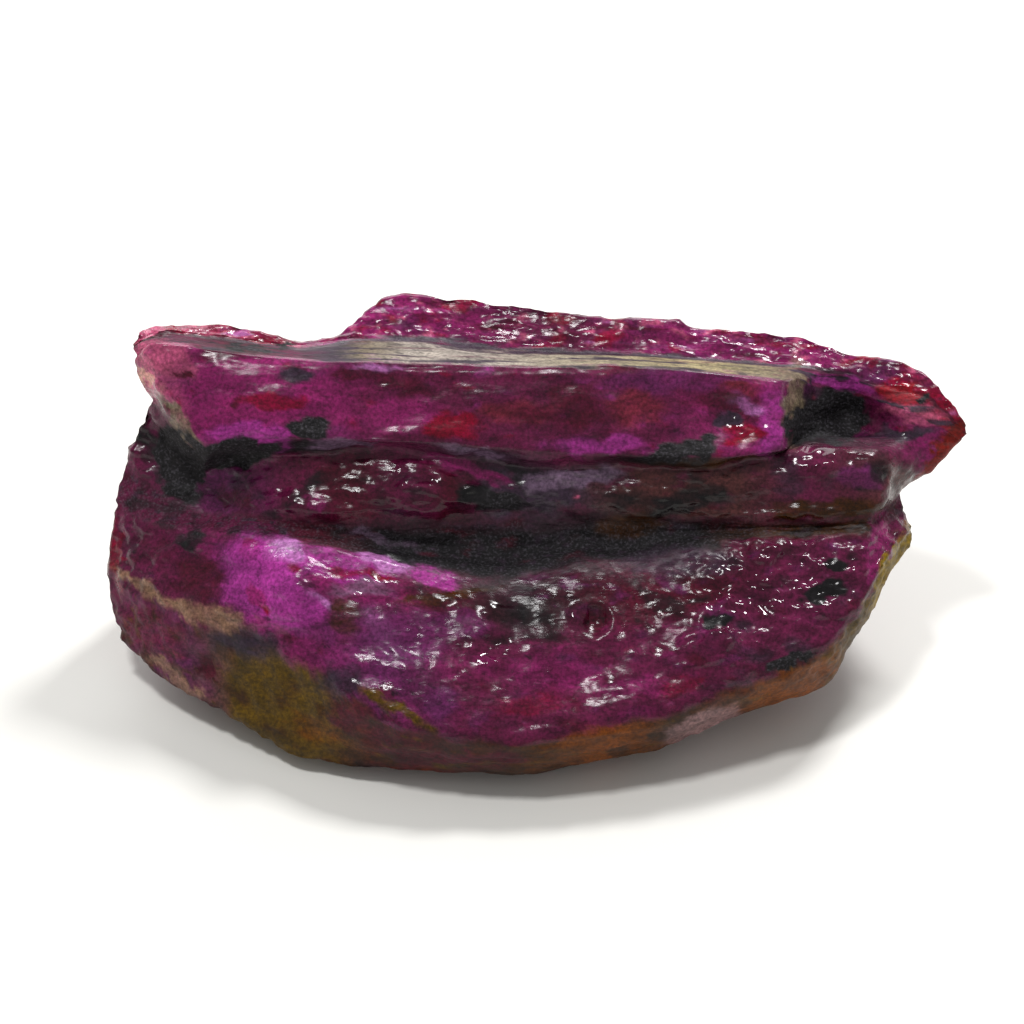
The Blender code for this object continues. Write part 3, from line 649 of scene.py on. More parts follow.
def layered_noise(points, size, seed, octaves):
    """Return noise summed over octaves, each half as large and half as high as the last."""
    size = np.array(size, float)
    total = np.zeros(points.shape[:-1])
    for octave in range(octaves):
        total += noise(points, size / 2 ** octave, seed + OCTAVE_SEEDS * octave) / 2 ** octave
    return total


def noise_patterns(places, table):
    """Return each noise of a table at the places, by name."""
    return {name: layered_noise(places, size, seed, octaves) for name, size, seed, octaves in table}


def scattered_cells(points, size, seed):
    """Return for each point the distance to its nearest and second nearest scattered seed,
    in cell sizes, and the height of the tilted plane that its cell carries.

    One seed lies at random in each lattice cell; the 27 cells around a point are searched.
    """
    scaled = points / np.array(size)
    base = np.floor(scaled)
    first = np.full(points.shape[:-1], FAR_OFF)
    second = first.copy()
    plane = np.zeros(points.shape[:-1])
    for offset in np.ndindex(3, 3, 3):
        cell = base + np.array(offset) - 1
        draws = [hashed(cell, seed * CELL_SEEDS + i) for i in range(6)]
        tilt = np.stack(draws[3:], axis=-1) * 2 - 1
        away = scaled - cell - np.stack(draws[:3], axis=-1)
        distance = np.sqrt(np.sum(away ** 2, axis=-1))
        nearer = distance < first
        second = np.where(nearer, first, np.minimum(second, distance))
        plane = np.where(nearer, np.sum(tilt * away, axis=-1), plane)
        first = np.where(nearer, distance, first)
    return first, second, plane


def smooth(value, low, high):
    """Return 0 below low, 1 above high, and between them three times the share's square less
    twice its cube."""
    share = np.clip((value - low) / (high - low), 0.0, 1.0)
    return share * share * (3 - 2 * share)


def band(value, low, high, soft):
    """Return 1 between low and high and 0 outside, eased over soft."""
    return smooth(value, low - soft, low + soft) * (1 - smooth(value, high - soft, high + soft))


def column_places(columns):
    """Return where the columns stand along every line, from 0 to 1: evenly, less one turn of a
    sine, which crowds them at both ends."""
    even = np.linspace(0.0, 1.0, columns + 1)
    return even - END_CROWDING * np.sin(2 * math.pi * even) / (2 * math.pi)


def stretch_line(points, places):
    """Return a contour line at the columns' places: straight runs, their bends rounded off by
    averaging the line a little to the left, twice here, and a little to the right."""
    along, second, third = np.array(points).T
    stations = along[0] + (along[-1] - along[0]) * places
    reach = np.minimum(LINE_ROUNDING, np.minimum(stations - along[0], along[-1] - stations))
    left, here, right = (
        np.stack([np.interp(stations + side * reach, along, row) for row in (second, third)])
        for side in (-1, 0, 1))
    rounded = (left + 2 * here + right) / 4
    return np.stack([stations, rounded[0], rounded[1]], axis=1)


def read_between(lines, level):
    """Return the point rows at fractional line numbers, by straight runs from line to line."""
    lower = np.clip(np.floor(level).astype(int), 0, len(lines) - 2)
    share = (level - lower)[:, None, None]
    return lines[lower] * (1 - share) + lines[lower + 1] * share


def fill_rows(lines, rows, bends):
    """Lay rows between the contour lines. Return them and their line numbers.

    Each bend is rounded off by averaging the rows a little before, twice here, and a little after.
    """
    level = np.concatenate([k + np.arange(count) / count for k, count in enumerate(rows)]
                           + [[len(rows)]])
    reach = np.interp(level, np.arange(len(bends)), bends)
    reach = np.minimum(reach, np.minimum(level, len(rows) - level))
    before = read_between(lines, level - reach)
    after = read_between(lines, level + reach)
    return (before + 2 * read_between(lines, level) + after) / 4, level


def chips(points):
    """Return the chipped relief's height, up to 1: flat folds in slanting directions, each a
    zigzag of the way along its direction, laid over each other."""
    height = np.zeros(points.shape[:-1])
    for direction, pitch, share in CHIP_FOLDS:
        along = points @ np.array(direction) / pitch
        height += share * (2.0 * np.abs(along % 2.0 - 1.0) - 1.0)
    return height


def lean_back(face):
    """Turn places on the leaning face into places of the stone as it stands.

    What stands out of the face is drawn larger in the eye's view, so it is drawn in towards the
    point in front of the eye. Then the face is turned back by the lean.
    """
    along, up, out = np.moveaxis(face, -1, 0)
    nearer = 1.0 - out / EYE_DISTANCE
    along = EYE_ALONG + (along - EYE_ALONG) * nearer
    up = EYE_UP + (up - EYE_UP) * nearer
    back = up * math.sin(LEAN) - out * math.cos(LEAN)
    height = up * math.cos(LEAN) + out * math.sin(LEAN)
    return np.stack([along, back, height], axis=-1)


def layered_places(points):
    """Turn places of the standing stone into places along, up and out of the leaning face, for
    patterns that follow its layers."""
    along, back, height = points.T
    up = back * math.sin(LEAN) + height * math.cos(LEAN)
    out = height * math.sin(LEAN) - back * math.cos(LEAN)
    return np.column_stack([along, up, out])


def drawn_places(points):
    """Turn places of the standing stone into those where its front is drawn: lean_back undone."""
    along, up, out = layered_places(points).T
    nearer = 1.0 - out / EYE_DISTANCE
    along = EYE_ALONG + (along - EYE_ALONG) / nearer
    return np.column_stack([along, EYE_UP + (up - EYE_UP) / nearer, out])


def front_skin(places):
    """Return the front's grid as the stone stands, and its rows' line numbers.

    Chips, bell-shaped blisters and ring-shaped rims stand out of the leaning face.
    """
    lines = np.array([stretch_line(points, places) for _, points in FRONT_LINES])
    face, level = fill_rows(lines, FRONT_ROWS, FRONT_BENDS)
    rise = FRONT_CHIPS * chips(face)
    for along, up, width, height in BLISTERS:
        spread = ((face[..., 0] - along) ** 2 + (face[..., 1] - up) ** 2) / (width / 2) ** 2
        rise += height * np.exp(-spread)
    for along, up, radius, thickness, height in RIMS:
        away = np.hypot(face[..., 0] - along, face[..., 1] - up) - radius
        rise += height * np.exp(-(away / thickness) ** 2)
    rise[[0, -1]] = 0.0
    rise[:, [0, -1]] = 0.0
    face[..., 2] += rise
    return lean_back(face), level


def roughen_back(skin):
    """Give the back its ledges, which run along the length as the front's do, and its chips.

    A ledge is a ramp up the leaning face that starts anew at each pitch, waved by a sine.
    """
    up = skin[..., 1] * math.sin(LEAN) + skin[..., 2] * math.cos(LEAN)
    up += LEDGE_WAVE * np.sin(skin[..., 0] / LEDGE_PITCH)
    rise = LEDGE_DEPTH * (up / LEDGE_PITCH % 1.0 - 0.5) + BACK_CHIPS * chips(skin)
    share = np.linspace(0, 1, len(skin))
    rise *= np.minimum(np.minimum(share, 1 - share) * BACK_SLOPE, 1.0)[:, None]
    outward = skin - np.array(CORE)
    outward[..., 0] *= CORE_REACH
    outward /= np.linalg.norm(outward, axis=-1, keepdims=True)
    return skin + outward * rise[..., None]


def press_flat(skin):
    """Press whatever stands beyond a fracture face onto it, along the face's own direction."""
    for point, facing in FRACTURES:
        normal = np.array(facing) / np.linalg.norm(facing)
        beyond = np.maximum((skin - np.array(point)) @ normal, 0.0)
        skin = skin - beyond[..., None] * normal
    return skin


def back_skin(front, places):
    """Return the grid of the back and the underside, from the crest round to the hem.

    Its rows are half as many as the front's. Averaging each point with its four neighbours eases
    the fracture faces' borders. At both ends the skin swings out of the seam in a
    quarter circle: its share of the way from the seam is the root of one less a square.
    """
    lines = [front[0]]
    lines += [stretch_line(points, places) for _, points in BACK_LINES]
    lines += [front[-1]]
    skin, _ = fill_rows(np.array(lines), BACK_ROWS, BACK_BENDS)
    skin = press_flat(roughen_back(skin))
    for _ in range(BACK_EASING):
        around = skin[:-2, 1:-1] + skin[2:, 1:-1] + skin[1:-1, :-2] + skin[1:-1, 2:]
        skin[1:-1, 1:-1] = (skin[1:-1, 1:-1] + around) / 5
    from_end = np.minimum(places, 1.0 - places) / END_CAP
    cap = np.sqrt(1.0 - (1.0 - np.minimum(from_end, 1.0)) ** 2)
    seam = np.where(places[None, :, None] < 0.5, front[::2, :1], front[::2, -1:])
    return seam + (skin - seam) * cap[None, :, None]


def loft_faces(rows, columns):
    """Return the quads of the front, and the quads and end faces of the back, by vertex number.

    Front vertices are numbered row by row. The back's inner vertices follow, and its rim uses
    every second front row's end, so its end faces have five corners.
    """
    front = np.arange((rows + 1) * (columns + 1)).reshape(rows + 1, columns + 1)
    back = front[::2].copy()
    inner = back[1:-1, 1:-1]
    inner[...] = front.size + np.arange(inner.size).reshape(inner.shape)
    around = [front[:-1, :-1], front[1:, :-1], front[1:, 1:], front[:-1, 1:]]
    front_quads = np.stack(around, axis=-1).reshape(-1, 4)
    flipped = np.stack([back[:-1, :-1], back[:-1, 1:], back[1:, 1:], back[1:, :-1]], axis=-1)
    quads = np.concatenate([front_quads, flipped[:, 1:-1].reshape(-1, 4)])
    left = np.column_stack([flipped[:, 0], front[1::2, 0]])
    last = flipped[:, -1]
    right = np.column_stack([last[:, [0, 1]], front[1::2, -1], last[:, [2, 3]]])
    return quads, np.concatenate([left, right])


def point_normals(points, quads, fives):
    """Return each point's outward direction: its faces' area vectors summed, made unit length."""
    normals = np.zeros_like(points)
    for faces in (quads, fives):
        corners = points[faces]
        area = np.cross(corners[:, 2] - corners[:, 0], corners[:, 3] - corners[:, 1])
        for i in range(faces.shape[1]):
            np.add.at(normals, faces[:, i], area)
    return normals / np.maximum(np.linalg.norm(normals, axis=1, keepdims=True), LEAST_LENGTH)


def gloss_share(drawn):
    """Return how wet and hackly each point is: 1 in a wet place's ellipse, eased to 0 beyond it."""
    share = np.zeros(len(drawn))
    for along, up, half_long, half_high, strength in WET_PLACES:
        away = np.hypot((drawn[:, 0] - along) / half_long, (drawn[:, 1] - up) / half_high)
        share = np.maximum(share, strength * (1 - smooth(away, *GLOSS_EDGE)))
    return share


def relief_patterns(places):
    """Return the fine relief's patterns by name: noises, scallops, which are the square of the
    way to the nearest seed, and chips, which are tilted planes bevelled at their borders."""
    patterns = noise_patterns(places, RELIEF_NOISES)
    for name, size, seed in SCALLOPS:
        patterns[name] = scattered_cells(places, size, seed)[0] ** 2
    near, far, plane = scattered_cells(places, *CHIPS)
    patterns["chipped"] = plane * (CHIP_REACH - near) * smooth(far - near, 0.0, CHIP_BEVEL)
    return patterns


def fine_relief(traits):
    """Return the fine relief's height in millimetres: each zone between contour lines has its own
    sum of patterns, and the back, the wet places, the right apron and the left end have theirs."""
    patterns = relief_patterns(traits["layered"])
    along = traits["layered"][:, 0]
    line = traits["line"]

    def mix(parts):
        return sum(tall * patterns[name] for name, tall in parts)

    height = np.zeros(len(line))
    for zone, low, high, soft, parts in RELIEF:
        share = band(line, low, high, soft)
        height += share * mix(parts)
        if zone == "apron":
            height += share * smooth(along, *RIGHT_APRON) * mix(RIGHT_APRON_RELIEF)
    height = traits["front"] * height + (1 - traits["front"]) * mix(BACK_RELIEF)
    height += traits["gloss"] * mix(WET_RELIEF)
    height += (1 - smooth(along, *LEFT_END)) * mix(LEFT_END_RELIEF)
    return height


def display_to_linear(colour):
    """Turn a display colour into a linear one by the sRGB curve."""
    colour = np.array(colour, float)
    curved = ((colour + CURVE_OFFSET) / (1 + CURVE_OFFSET)) ** CURVE_POWER
    return np.where(colour <= STRAIGHT_END, colour / STRAIGHT_SLOPE, curved)


def cover(under, colour, share):
    """Lay a colour over the points' colours, by each point's share."""
    return under + (colour - under) * np.clip(share, 0.0, 1.0)[:, None]


def turned_ellipse(along, up, mark):
    """Return each point's share in a mark: its strength inside a turned ellipse, eased to 0."""
    _, _, centre, height, half_long, half_high, turn, strength = mark
    cosine = math.cos(math.radians(turn))
    sine = math.sin(math.radians(turn))
    across = ((along - centre) * cosine + (up - height) * sine) / half_long
    upward = ((up - height) * cosine - (along - centre) * sine) / half_high
    return strength * (1 - smooth(np.sqrt(across ** 2 + upward ** 2), *MARK_EDGE))


def ground_colours(palette, stops, along):
    """Return a zone's ground colour at each place along the length, by straight runs between its
    stops."""
    places = [stop[0] for stop in stops]
    colours = np.array([palette[stop[1]] for stop in stops])
    return np.stack([np.interp(along, places, colours[:, i]) for i in range(3)], axis=1)


def lay_patch(over, share, colour, strength):
    """Where a patch is stronger than what lies there, ease its colour and its share into place."""
    stronger = smooth(strength - share, -PATCH_EASE, PATCH_EASE) * (strength > LEAST_SHARE)
    return cover(over, colour, stronger), share + np.maximum(strength - share, 0.0)


def paint_stone(palette, traits):
    """Return what the finish reads at each point, by name: ground colour, patch colour and that
    patch's share, roughness and grit.

    Each zone between contour lines has its ground colours along the length, and half-strong
    noise mottles. The patch is the strongest mottle or colour mark at the point, and the
    finish breaks its edge up by fine noise.
    """
    patterns = noise_patterns(traits["layered"], COLOUR_NOISES)
    front, line, gloss = traits["front"], traits["line"], traits["gloss"]
    along = traits["drawn"][:, 0] + DRIFT_ALONG * patterns["drift along"]
    up = traits["drawn"][:, 1] + DRIFT_UP * patterns["drift up"]
    ragged = smooth(line, *LOW_BORDERS) * LOW_WAVER * patterns["mid"]
    ragged += TOP_FACE_WAVER * patterns["streaks"] * band(line, *TOP_FACE_BORDERS)
    wavy = line + ragged + SMALL_WAVER * patterns["small"]

    ground = np.tile(palette["plum"], (len(line), 1))
    zones = {"back": 1 - front}
    roughness, grit = (value * np.ones(len(line)) for value in BACK_FINISH)
    for name, low, high, soft, zone_roughness, zone_grit, stops in ZONES:
        zone = band(wavy, low, high, soft) * front
        zones[name] = zone
        ground = cover(ground, ground_colours(palette, stops, along), zone)
        roughness += (zone_roughness - roughness) * zone
        grit += (zone_grit - grit) * zone

    patch = ground.copy()
    share = np.zeros(len(line))
    for zone, mottles in MOTTLES:
        for name, pattern, low, high, strength in mottles:
            sign = -1 if pattern[0] == "-" else 1
            risen = smooth(sign * patterns[pattern.lstrip("-")], low, high)
            strong = zones[zone] * risen * strength
            ground = cover(ground, palette[name], GROUND_TINT * strong)
            patch, share = lay_patch(patch, share, palette[name], strong)

    dark = np.zeros(len(line))
    share *= MOTTLE_YIELD
    for mark in MARKS:
        name = mark[1]
        strong = turned_ellipse(along, up, mark) * front
        if name == "mineral":
            strong = smooth(strong, *MINERAL_EDGE)
            dark = np.maximum(dark, strong)
        ground = cover(ground, palette[name], GROUND_TINT * strong)
        patch, share = lay_patch(patch, share, palette[name], strong)

    roughness += (MINERAL_FINISH[0] - roughness) * dark + ROUGHNESS_DRIFT * patterns["mid"]
    roughness += (WET_ROUGHNESS - roughness) * gloss
    grit += (MINERAL_FINISH[1] - grit) * dark
    grit *= 1 - WET_SMOOTHING * gloss
    return {"ground": ground, "patch": patch, "share": share,
            "roughness": np.clip(roughness, *ROUGHNESS_LIMITS), "grit": np.clip(grit, 0.0, 1.0)}


def front_shares(rows, places):
    """Return how much of the front's pattern each point carries: 1 on the front, and on the back
    a share that fades with the way from the seam, by rows and by columns."""
    down = np.linspace(0.0, 1.0, rows // 2 + 1)[1:-1, None]
    across = places[None, 1:-1]
    away = np.minimum(np.minimum(down, 1 - down), np.minimum(across, 1 - across)) / SEAM_FADE
    back = 1 - smooth(away, SEAM_START, 1.0)
    return np.concatenate([np.ones((rows + 1) * len(places)), back.ravel()])


def stone_mesh(settings):
    """Return the stone's points in millimetres, its faces, and its points' traits by name: line
    number, share in the front's pattern, layered place, drawn place and gloss.

    The skin is centred over the origin and scaled to the solid's length. Then each point moves
    along its normal by the fine relief.
    """
    places = column_places(settings.columns)
    front, level = front_skin(places)
    back = back_skin(front, places)
    rows = len(front) - 1
    points = np.concatenate([front.reshape(-1, 3), back[1:-1, 1:-1].reshape(-1, 3)])
    lines = [np.repeat(level, len(places)), np.repeat(level[::2][1:-1], len(places) - 2)]
    traits = {"line": np.concatenate(lines), "front": front_shares(rows, places),
              "drawn": drawn_places(points)}
    points[:, 2] = np.maximum(points[:, 2], 0.0)
    low = points.min(axis=0)
    high = points.max(axis=0)
    points[:, :2] -= (low[:2] + high[:2]) / 2
    points *= LENGTH / (high[0] - low[0])
    traits["layered"] = layered_places(points)
    traits["gloss"] = gloss_share(traits["drawn"]) * traits["front"]
    quads, fives = loft_faces(rows, settings.columns)
    lift = fine_relief(traits) * settings.relief * smooth(points[:, 2], *FOOT_FADE)
    points = points + point_normals(points, quads, fives) * lift[:, None]
    points[:, 2] = np.maximum(points[:, 2], 0.0)
    return points, quads.tolist() + fives.tolist(), traits


def make_object(name, points, faces):
    """Put points in millimetres and lists of faces into a mesh object."""
    mesh = bpy.data.meshes.new(name)
    mesh.from_pydata((points * MM).tolist(), [], faces)
    mesh.validate()
    mesh.update()
    thing = bpy.data.objects.new(name, mesh)
    bpy.context.scene.collection.objects.link(thing)
    return thing


def colour_setting(label, colour):
    """Return a display colour setting of the stone."""
    return FloatVectorProperty(name=label, description=label + " of the stone", default=colour,
                               min=0.0, max=1.0, size=3, subtype="COLOR_GAMMA")


def strength_setting(label, description, strength, least=0.0, most=3.0):
    """Return a setting that scales something, 1 leaving it as it is."""
    return FloatProperty(name=label, description=description, default=strength, min=least,
                         max=most, subtype="FACTOR")


def power_setting(label, power):
    """Return a light's power setting in watts."""
    return FloatProperty(name=label, description=label + " power in watts", default=power,
                         min=0.0, unit="POWER")


class SapphireStone(PropertyGroup):
    """The stone's grid, relief and brightness."""

    columns: IntProperty(name="Columns", description="Columns of the stone's grid from end to end",
                         default=290, min=40)
    relief: strength_setting("Relief", "Strength of the fine relief", 1.0, most=2.0)
    brightness: strength_setting("Brightness", "Strength of all the colours", 1.0, least=0.1)


class SapphireColours(PropertyGroup):
    """The stone's palette, in display colours."""

    plum: colour_setting("Plum ground", (0.35, 0.085, 0.22))
    magenta: colour_setting("Magenta cloud", (0.48, 0.105, 0.33))
    bright: colour_setting("Bright magenta", (0.62, 0.19, 0.53))
    violet: colour_setting("Violet cloud", (0.37, 0.12, 0.31))
    # Lilac: pale colour that stands in for painted highlights and glints.
    lilac_highlight: colour_setting("Lilac haze", (0.72, 0.44, 0.70))
    crimson: colour_setting("Crimson", (0.48, 0.0, 0.14))
    wine: colour_setting("Dark wine", (0.28, 0.04, 0.12))
    rose: colour_setting("Rose", (0.72, 0.33, 0.46))
    peach: colour_setting("Peach lip", (0.88, 0.66, 0.58))
    red: colour_setting("Red cap", (0.52, 0.02, 0.10))
    rust: colour_setting("Rust underside", (0.44, 0.08, 0.05))
    mineral: colour_setting("Black mineral", (0.09, 0.08, 0.09))
    slate: colour_setting("Slate", (0.21, 0.15, 0.21))
    # Pale top face and straw tinge: partly the face's own pale colour, partly a painted grazing
    # sheen.
    pale_face_and_sheen: colour_setting("Pale top face", (0.60, 0.56, 0.52))
    straw_and_sheen: colour_setting("Straw tinge", (0.57, 0.52, 0.38))
    # Olive and moss: partly the skin's own colour, partly painted reflection of yellow ground below
    # the hem.
    olive_and_reflection: colour_setting("Olive skin", (0.33, 0.24, 0.0))
    moss_and_reflection: colour_setting("Mossy edge", (0.50, 0.40, 0.03))
    umber: colour_setting("Umber skin", (0.22, 0.11, 0.01))
    brown: colour_setting("Red-brown cloud", (0.42, 0.12, 0.18))
    # Amber: partly the skin's own colour, partly painted reflection of yellow ground below the hem.
    amber_and_reflection: colour_setting("Amber skin", (0.44, 0.22, 0.01))
    tan: colour_setting("Tan line", (0.55, 0.42, 0.33))
    drab: colour_setting("Drab edge", (0.45, 0.40, 0.32))
    lavender: colour_setting("Lavender skin", (0.50, 0.38, 0.38))
    # Lilac grey: painted sheen and edge highlights.
    sheen_grey: colour_setting("Lilac grey", (0.42, 0.33, 0.42))
    cocoa: colour_setting("Cocoa ledge", (0.29, 0.15, 0.15))


class SapphireStage(PropertyGroup):
    """The floor, the lights and the camera."""

    lens: FloatProperty(name="Lens", description="Focal length in millimetres", default=120.0,
                        min=20.0, unit="CAMERA")
    key: power_setting("Key light", 2.8)
    back: power_setting("Back light", 2.2)
    overhead: power_setting("Overhead light", 2.0)
    daylight: strength_setting("Daylight", "Strength of the white surroundings", 0.35)
    floor: FloatVectorProperty(name="Floor", description="Colour of the floor", size=3, min=0.0,
                               max=1.0, default=(0.86, 0.85, 0.81), subtype="COLOR")


def store_values(mesh, name, values):
    """Keep one value or colour for each point of a mesh."""
    if values.ndim == 2:
        layer = mesh.attributes.new(name, "FLOAT_COLOR", "POINT")
        values = np.column_stack([values, np.ones(len(values))])
        field = "color"
    else:
        layer = mesh.attributes.new(name, "FLOAT", "POINT")
        field = "value"
    layer.data.foreach_set(field, np.ascontiguousarray(values, dtype=np.float32).ravel())


def add_node(tree, kind, links=(), **values):
    """Add a shader node, set its values, and link its inputs from (socket, source) pairs."""
    node = tree.nodes.new(kind)
    for name, value in values.items():
        setattr(node, name, value)
    for socket, source in links:
        if hasattr(source, "links"):
            tree.links.new(source, node.inputs[socket])
        else:
            node.inputs[socket].default_value = source
    return node


def stored(tree, name, output="Fac"):
    """Add a node that reads what store_values kept, and return its output."""
    return add_node(tree, "ShaderNodeAttribute", attribute_name=name).outputs[output]


def stretched(tree, value, low, high, least, most):
    """Add a node that stretches a value from low..high to least..most."""
    ends = (("Value", value), ("From Min", low), ("From Max", high), ("To Min", least),
            ("To Max", most))
    return add_node(tree, "ShaderNodeMapRange", ends).outputs[0]


def noise_value(tree, place, scale, detail, roughness):
    """Add a noise and return its value."""
    settings = (("Vector", place), ("Scale", scale), ("Detail", detail), ("Roughness", roughness))
    return add_node(tree, "ShaderNodeTexNoise", settings).outputs["Fac"]


def worked_out(tree, operation, *values):
    """Add a sum, product or other operation on values and return its result."""
    return add_node(tree, "ShaderNodeMath", enumerate(values), operation=operation).outputs[0]


def mixed_colour(tree, share, under, over):
    """Add a mix of two colours and return its result."""
    links = ((0, share), (6, under), (7, over))
    return add_node(tree, "ShaderNodeMix", links, data_type="RGBA").outputs[2]


def stone_colour(tree, place, leaf):
    """Return the colour: patches over the ground with edges broken up by noise, times flecks,
    clouds and dark veins that run with the layers, and painted grey glints where the grit is
    coarse.

    A vein lies where a noise crosses its middle: its distance from one half, stretched.
    """
    broken = worked_out(tree, "MULTIPLY_ADD", noise_value(tree, leaf, *EDGE_NOISE), EDGE_WEIGHT,
                        stored(tree, "share"))
    both = mixed_colour(tree, stretched(tree, broken, *EDGE_RANGE), stored(tree, "ground", "Color"),
                        stored(tree, "patch", "Color"))
    flecks = stretched(tree, noise_value(tree, place, *FLECK_NOISE), *FLECK_RANGE)
    clouds = stretched(tree, noise_value(tree, leaf, *CLOUD_NOISE), *CLOUD_RANGE)
    crossing = worked_out(tree, "SUBTRACT", noise_value(tree, leaf, *VEIN_NOISE), 0.5)
    veins = stretched(tree, worked_out(tree, "ABSOLUTE", crossing), *VEIN_RANGE)
    light = worked_out(tree, "MULTIPLY", worked_out(tree, "MULTIPLY", flecks, clouds), veins)
    shaded = add_node(tree, "ShaderNodeVectorMath", ((0, both), (1, light)), operation="MULTIPLY")
    # Painted glints: grey specks mixed into the colour where the grit is coarse.
    painted_glints = stretched(tree, noise_value(tree, place, *GLINT_SPECK_NOISE), *GLINT_SPECK_RANGE)
    gritty = stretched(tree, stored(tree, "grit"), *GRITTY_RANGE)
    return mixed_colour(tree, worked_out(tree, "MULTIPLY", painted_glints, gritty), shaded.outputs[0],
                        GLINT_SPECK_COLOUR)


def wet_corundum():
    """Return the stone's finish: painted colours, a wet gloss of varying strength, and a fine bump.

    Patterns that follow the layers read Object coordinates turned onto the leaning face and
    drawn out along the length. The bump is grain plus pits, as strong as the stored grit. The
    refraction index is below corundum's own, because the worn skin mirrors less.
    """
    material = bpy.data.materials.new("wet corundum")
    material.use_nodes = True
    tree = material.node_tree
    shader = tree.nodes["Principled BSDF"]
    place = add_node(tree, "ShaderNodeTexCoord").outputs["Object"]
    turn = (("Vector", place), ("Rotation", (LEAN - math.pi / 2, 0, 0)), ("Scale", LEAF_STRETCH))
    leaf = add_node(tree, "ShaderNodeMapping", turn).outputs[0]
    tree.links.new(stone_colour(tree, place, leaf), shader.inputs["Base Color"])
    cloudy = stretched(tree, noise_value(tree, place, *GLOSS_NOISE), *GLOSS_RANGE)
    tree.links.new(worked_out(tree, "ADD", stored(tree, "roughness"), cloudy),
                   shader.inputs["Roughness"])
    pits = add_node(tree, "ShaderNodeTexVoronoi", (("Vector", leaf), ("Scale", PIT_CELLS)))
    height = worked_out(tree, "MULTIPLY_ADD", noise_value(tree, leaf, *GRAIN_NOISE), GRAIN_WEIGHT,
                        pits.outputs["Distance"])
    bump = add_node(tree, "ShaderNodeBump", (("Strength", stored(tree, "grit")),
                                             ("Distance", BUMP_HEIGHT), ("Height", height)))
    tree.links.new(bump.outputs[0], shader.inputs["Normal"])
    shader.inputs["IOR"].default_value = SKIN_INDEX
    return material


class SAPPHIRE_OT_stone(Operator):
    """Make the stone: one skin with its relief, colours and gloss."""

    bl_idname = "sapphire.stone"
    bl_label = "Stone"

    def execute(self, context):
        settings = context.scene.sapphire_stone
        colours = context.scene.sapphire_colours
        points, faces, traits = stone_mesh(settings)
        stone = make_object("rough_sapphire_skin", points, faces)
        stone.data.shade_smooth()
        palette = {name: display_to_linear(getattr(colours, name)) * settings.brightness
                   for name in SapphireColours.__annotations__}
        for name, values in paint_stone(palette, traits).items():
            store_values(stone.data, name, values)
        stone.data.materials.append(wet_corundum())
        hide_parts(STONE)
        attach(stone, "root")
        return {"FINISHED"}


class SAPPHIRE_OT_stage(Operator):
    """Lay the floor, set up the lights and aim the camera."""

    bl_idname = "sapphire.stage"
    bl_label = "Stage"

    def execute(self, context):
        settings = context.scene.sapphire_stage
        corners = np.array([(-1, -1, 0), (1, -1, 0), (1, 1, 0), (-1, 1, 0)]) * FLOOR_REACH / MM
        floor = make_object("floor", corners, [(0, 1, 2, 3)])
        paint = bpy.data.materials.new("floor paint")
        paint.use_nodes = True
        shader = paint.node_tree.nodes["Principled BSDF"]
        shader.inputs["Base Color"].default_value = (*settings.floor, 1)
        shader.inputs["Roughness"].default_value = FLOOR_ROUGHNESS
        floor.data.materials.append(paint)
        hang_lights(settings)
        aim_camera(settings)
        context.scene.view_settings.view_transform = "Standard"
        return {"FINISHED"}


def hang_lights(settings):
    """Light the stone with square soft lights from the right, behind and above, and dim white
    surroundings."""
    for name, place, size in LIGHTS:
        data = bpy.data.lights.new(name, "AREA")
        data.size = size
        data.energy = getattr(settings, name)
        lamp = bpy.data.objects.new(name, data)
        lamp.location = place
        facing = Vector(LIT_PLACE) - Vector(place)
        lamp.rotation_euler = facing.to_track_quat("-Z", "Y").to_euler()
        bpy.context.scene.collection.objects.link(lamp)
    world = bpy.data.worlds.new("studio")
    world.use_nodes = True
    world.node_tree.nodes["Background"].inputs["Color"].default_value = (1, 1, 1, 1)
    world.node_tree.nodes["Background"].inputs["Strength"].default_value = settings.daylight
    bpy.context.scene.world = world


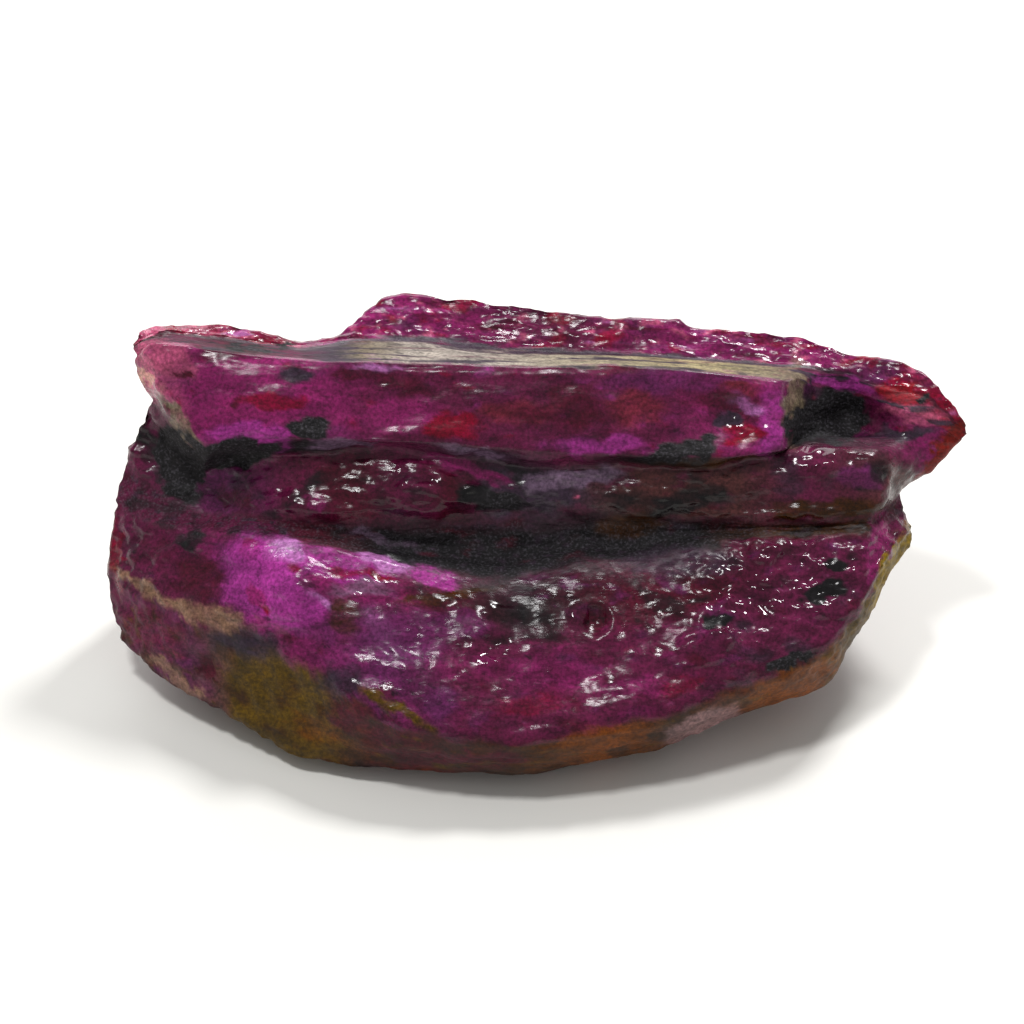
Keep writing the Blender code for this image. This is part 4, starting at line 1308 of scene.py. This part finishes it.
def aim_camera(settings):
    """Put the camera where the contour lines are drawn from, looking square at the leaning face.

    The eye's place is moved and scaled as the skin's points are, from a coarser grid.
    """
    places = column_places(AIMING_COLUMNS)
    front, _ = front_skin(places)
    back = back_skin(front, places)
    both = np.concatenate([front.reshape(-1, 3), back.reshape(-1, 3)])
    low = both.min(axis=0)
    high = both.max(axis=0)
    outward = np.array([0.0, -math.cos(LEAN), math.sin(LEAN)])
    eye = lean_back(np.array([EYE_ALONG, EYE_UP, 0.0])) + outward * EYE_DISTANCE
    eye[:2] -= (low[:2] + high[:2]) / 2
    eye *= LENGTH / (high[0] - low[0]) * MM
    data = bpy.data.cameras.new("camera")
    data.lens = settings.lens
    data.sensor_width = SENSOR_WIDTH
    camera = bpy.data.objects.new("camera", data)
    camera.location = eye
    camera.rotation_euler = (math.pi / 2 - LEAN, 0.0, 0.0)
    bpy.context.scene.collection.objects.link(camera)
    bpy.context.scene.camera = camera


class SAPPHIRE_PT_panel(Panel):
    """Lists the pieces and their settings in the sidebar."""

    bl_label = "Rough sapphire"
    bl_idname = "SAPPHIRE_PT_panel"
    bl_space_type = "VIEW_3D"
    bl_region_type = "UI"
    bl_category = "Sapphire"

    def draw(self, context):
        scene = context.scene
        stone_groups = (scene.sapphire_stone, scene.sapphire_colours)
        for groups, operator in ((stone_groups, SAPPHIRE_OT_stone),
                                 ((scene.sapphire_stage,), SAPPHIRE_OT_stage)):
            box = self.layout.box()
            for group in groups:
                for name in group.__annotations__:
                    box.prop(group, name)
            box.operator(operator.bl_idname)


GROUPS = {"sapphire_stone": SapphireStone, "sapphire_colours": SapphireColours,
          "sapphire_stage": SapphireStage}
CLASSES = (*GROUPS.values(), SAPPHIRE_OT_stone, SAPPHIRE_OT_stage, SAPPHIRE_PT_panel)


def register():
    """Register the classes and hang their settings on the scene."""
    for kind in CLASSES:
        bpy.utils.register_class(kind)
    for name, group in GROUPS.items():
        setattr(bpy.types.Scene, name, PointerProperty(type=group))


def unregister():
    """Take the settings off the scene and unregister the classes."""
    for name in GROUPS:
        delattr(bpy.types.Scene, name)
    for kind in reversed(CLASSES):
        bpy.utils.unregister_class(kind)


def main():
    """Register the classes and build every piece in order."""
    register()
    bpy.ops.sapphire.stone()
    bpy.ops.sapphire.stage()


if __name__ == "__main__":
    main()
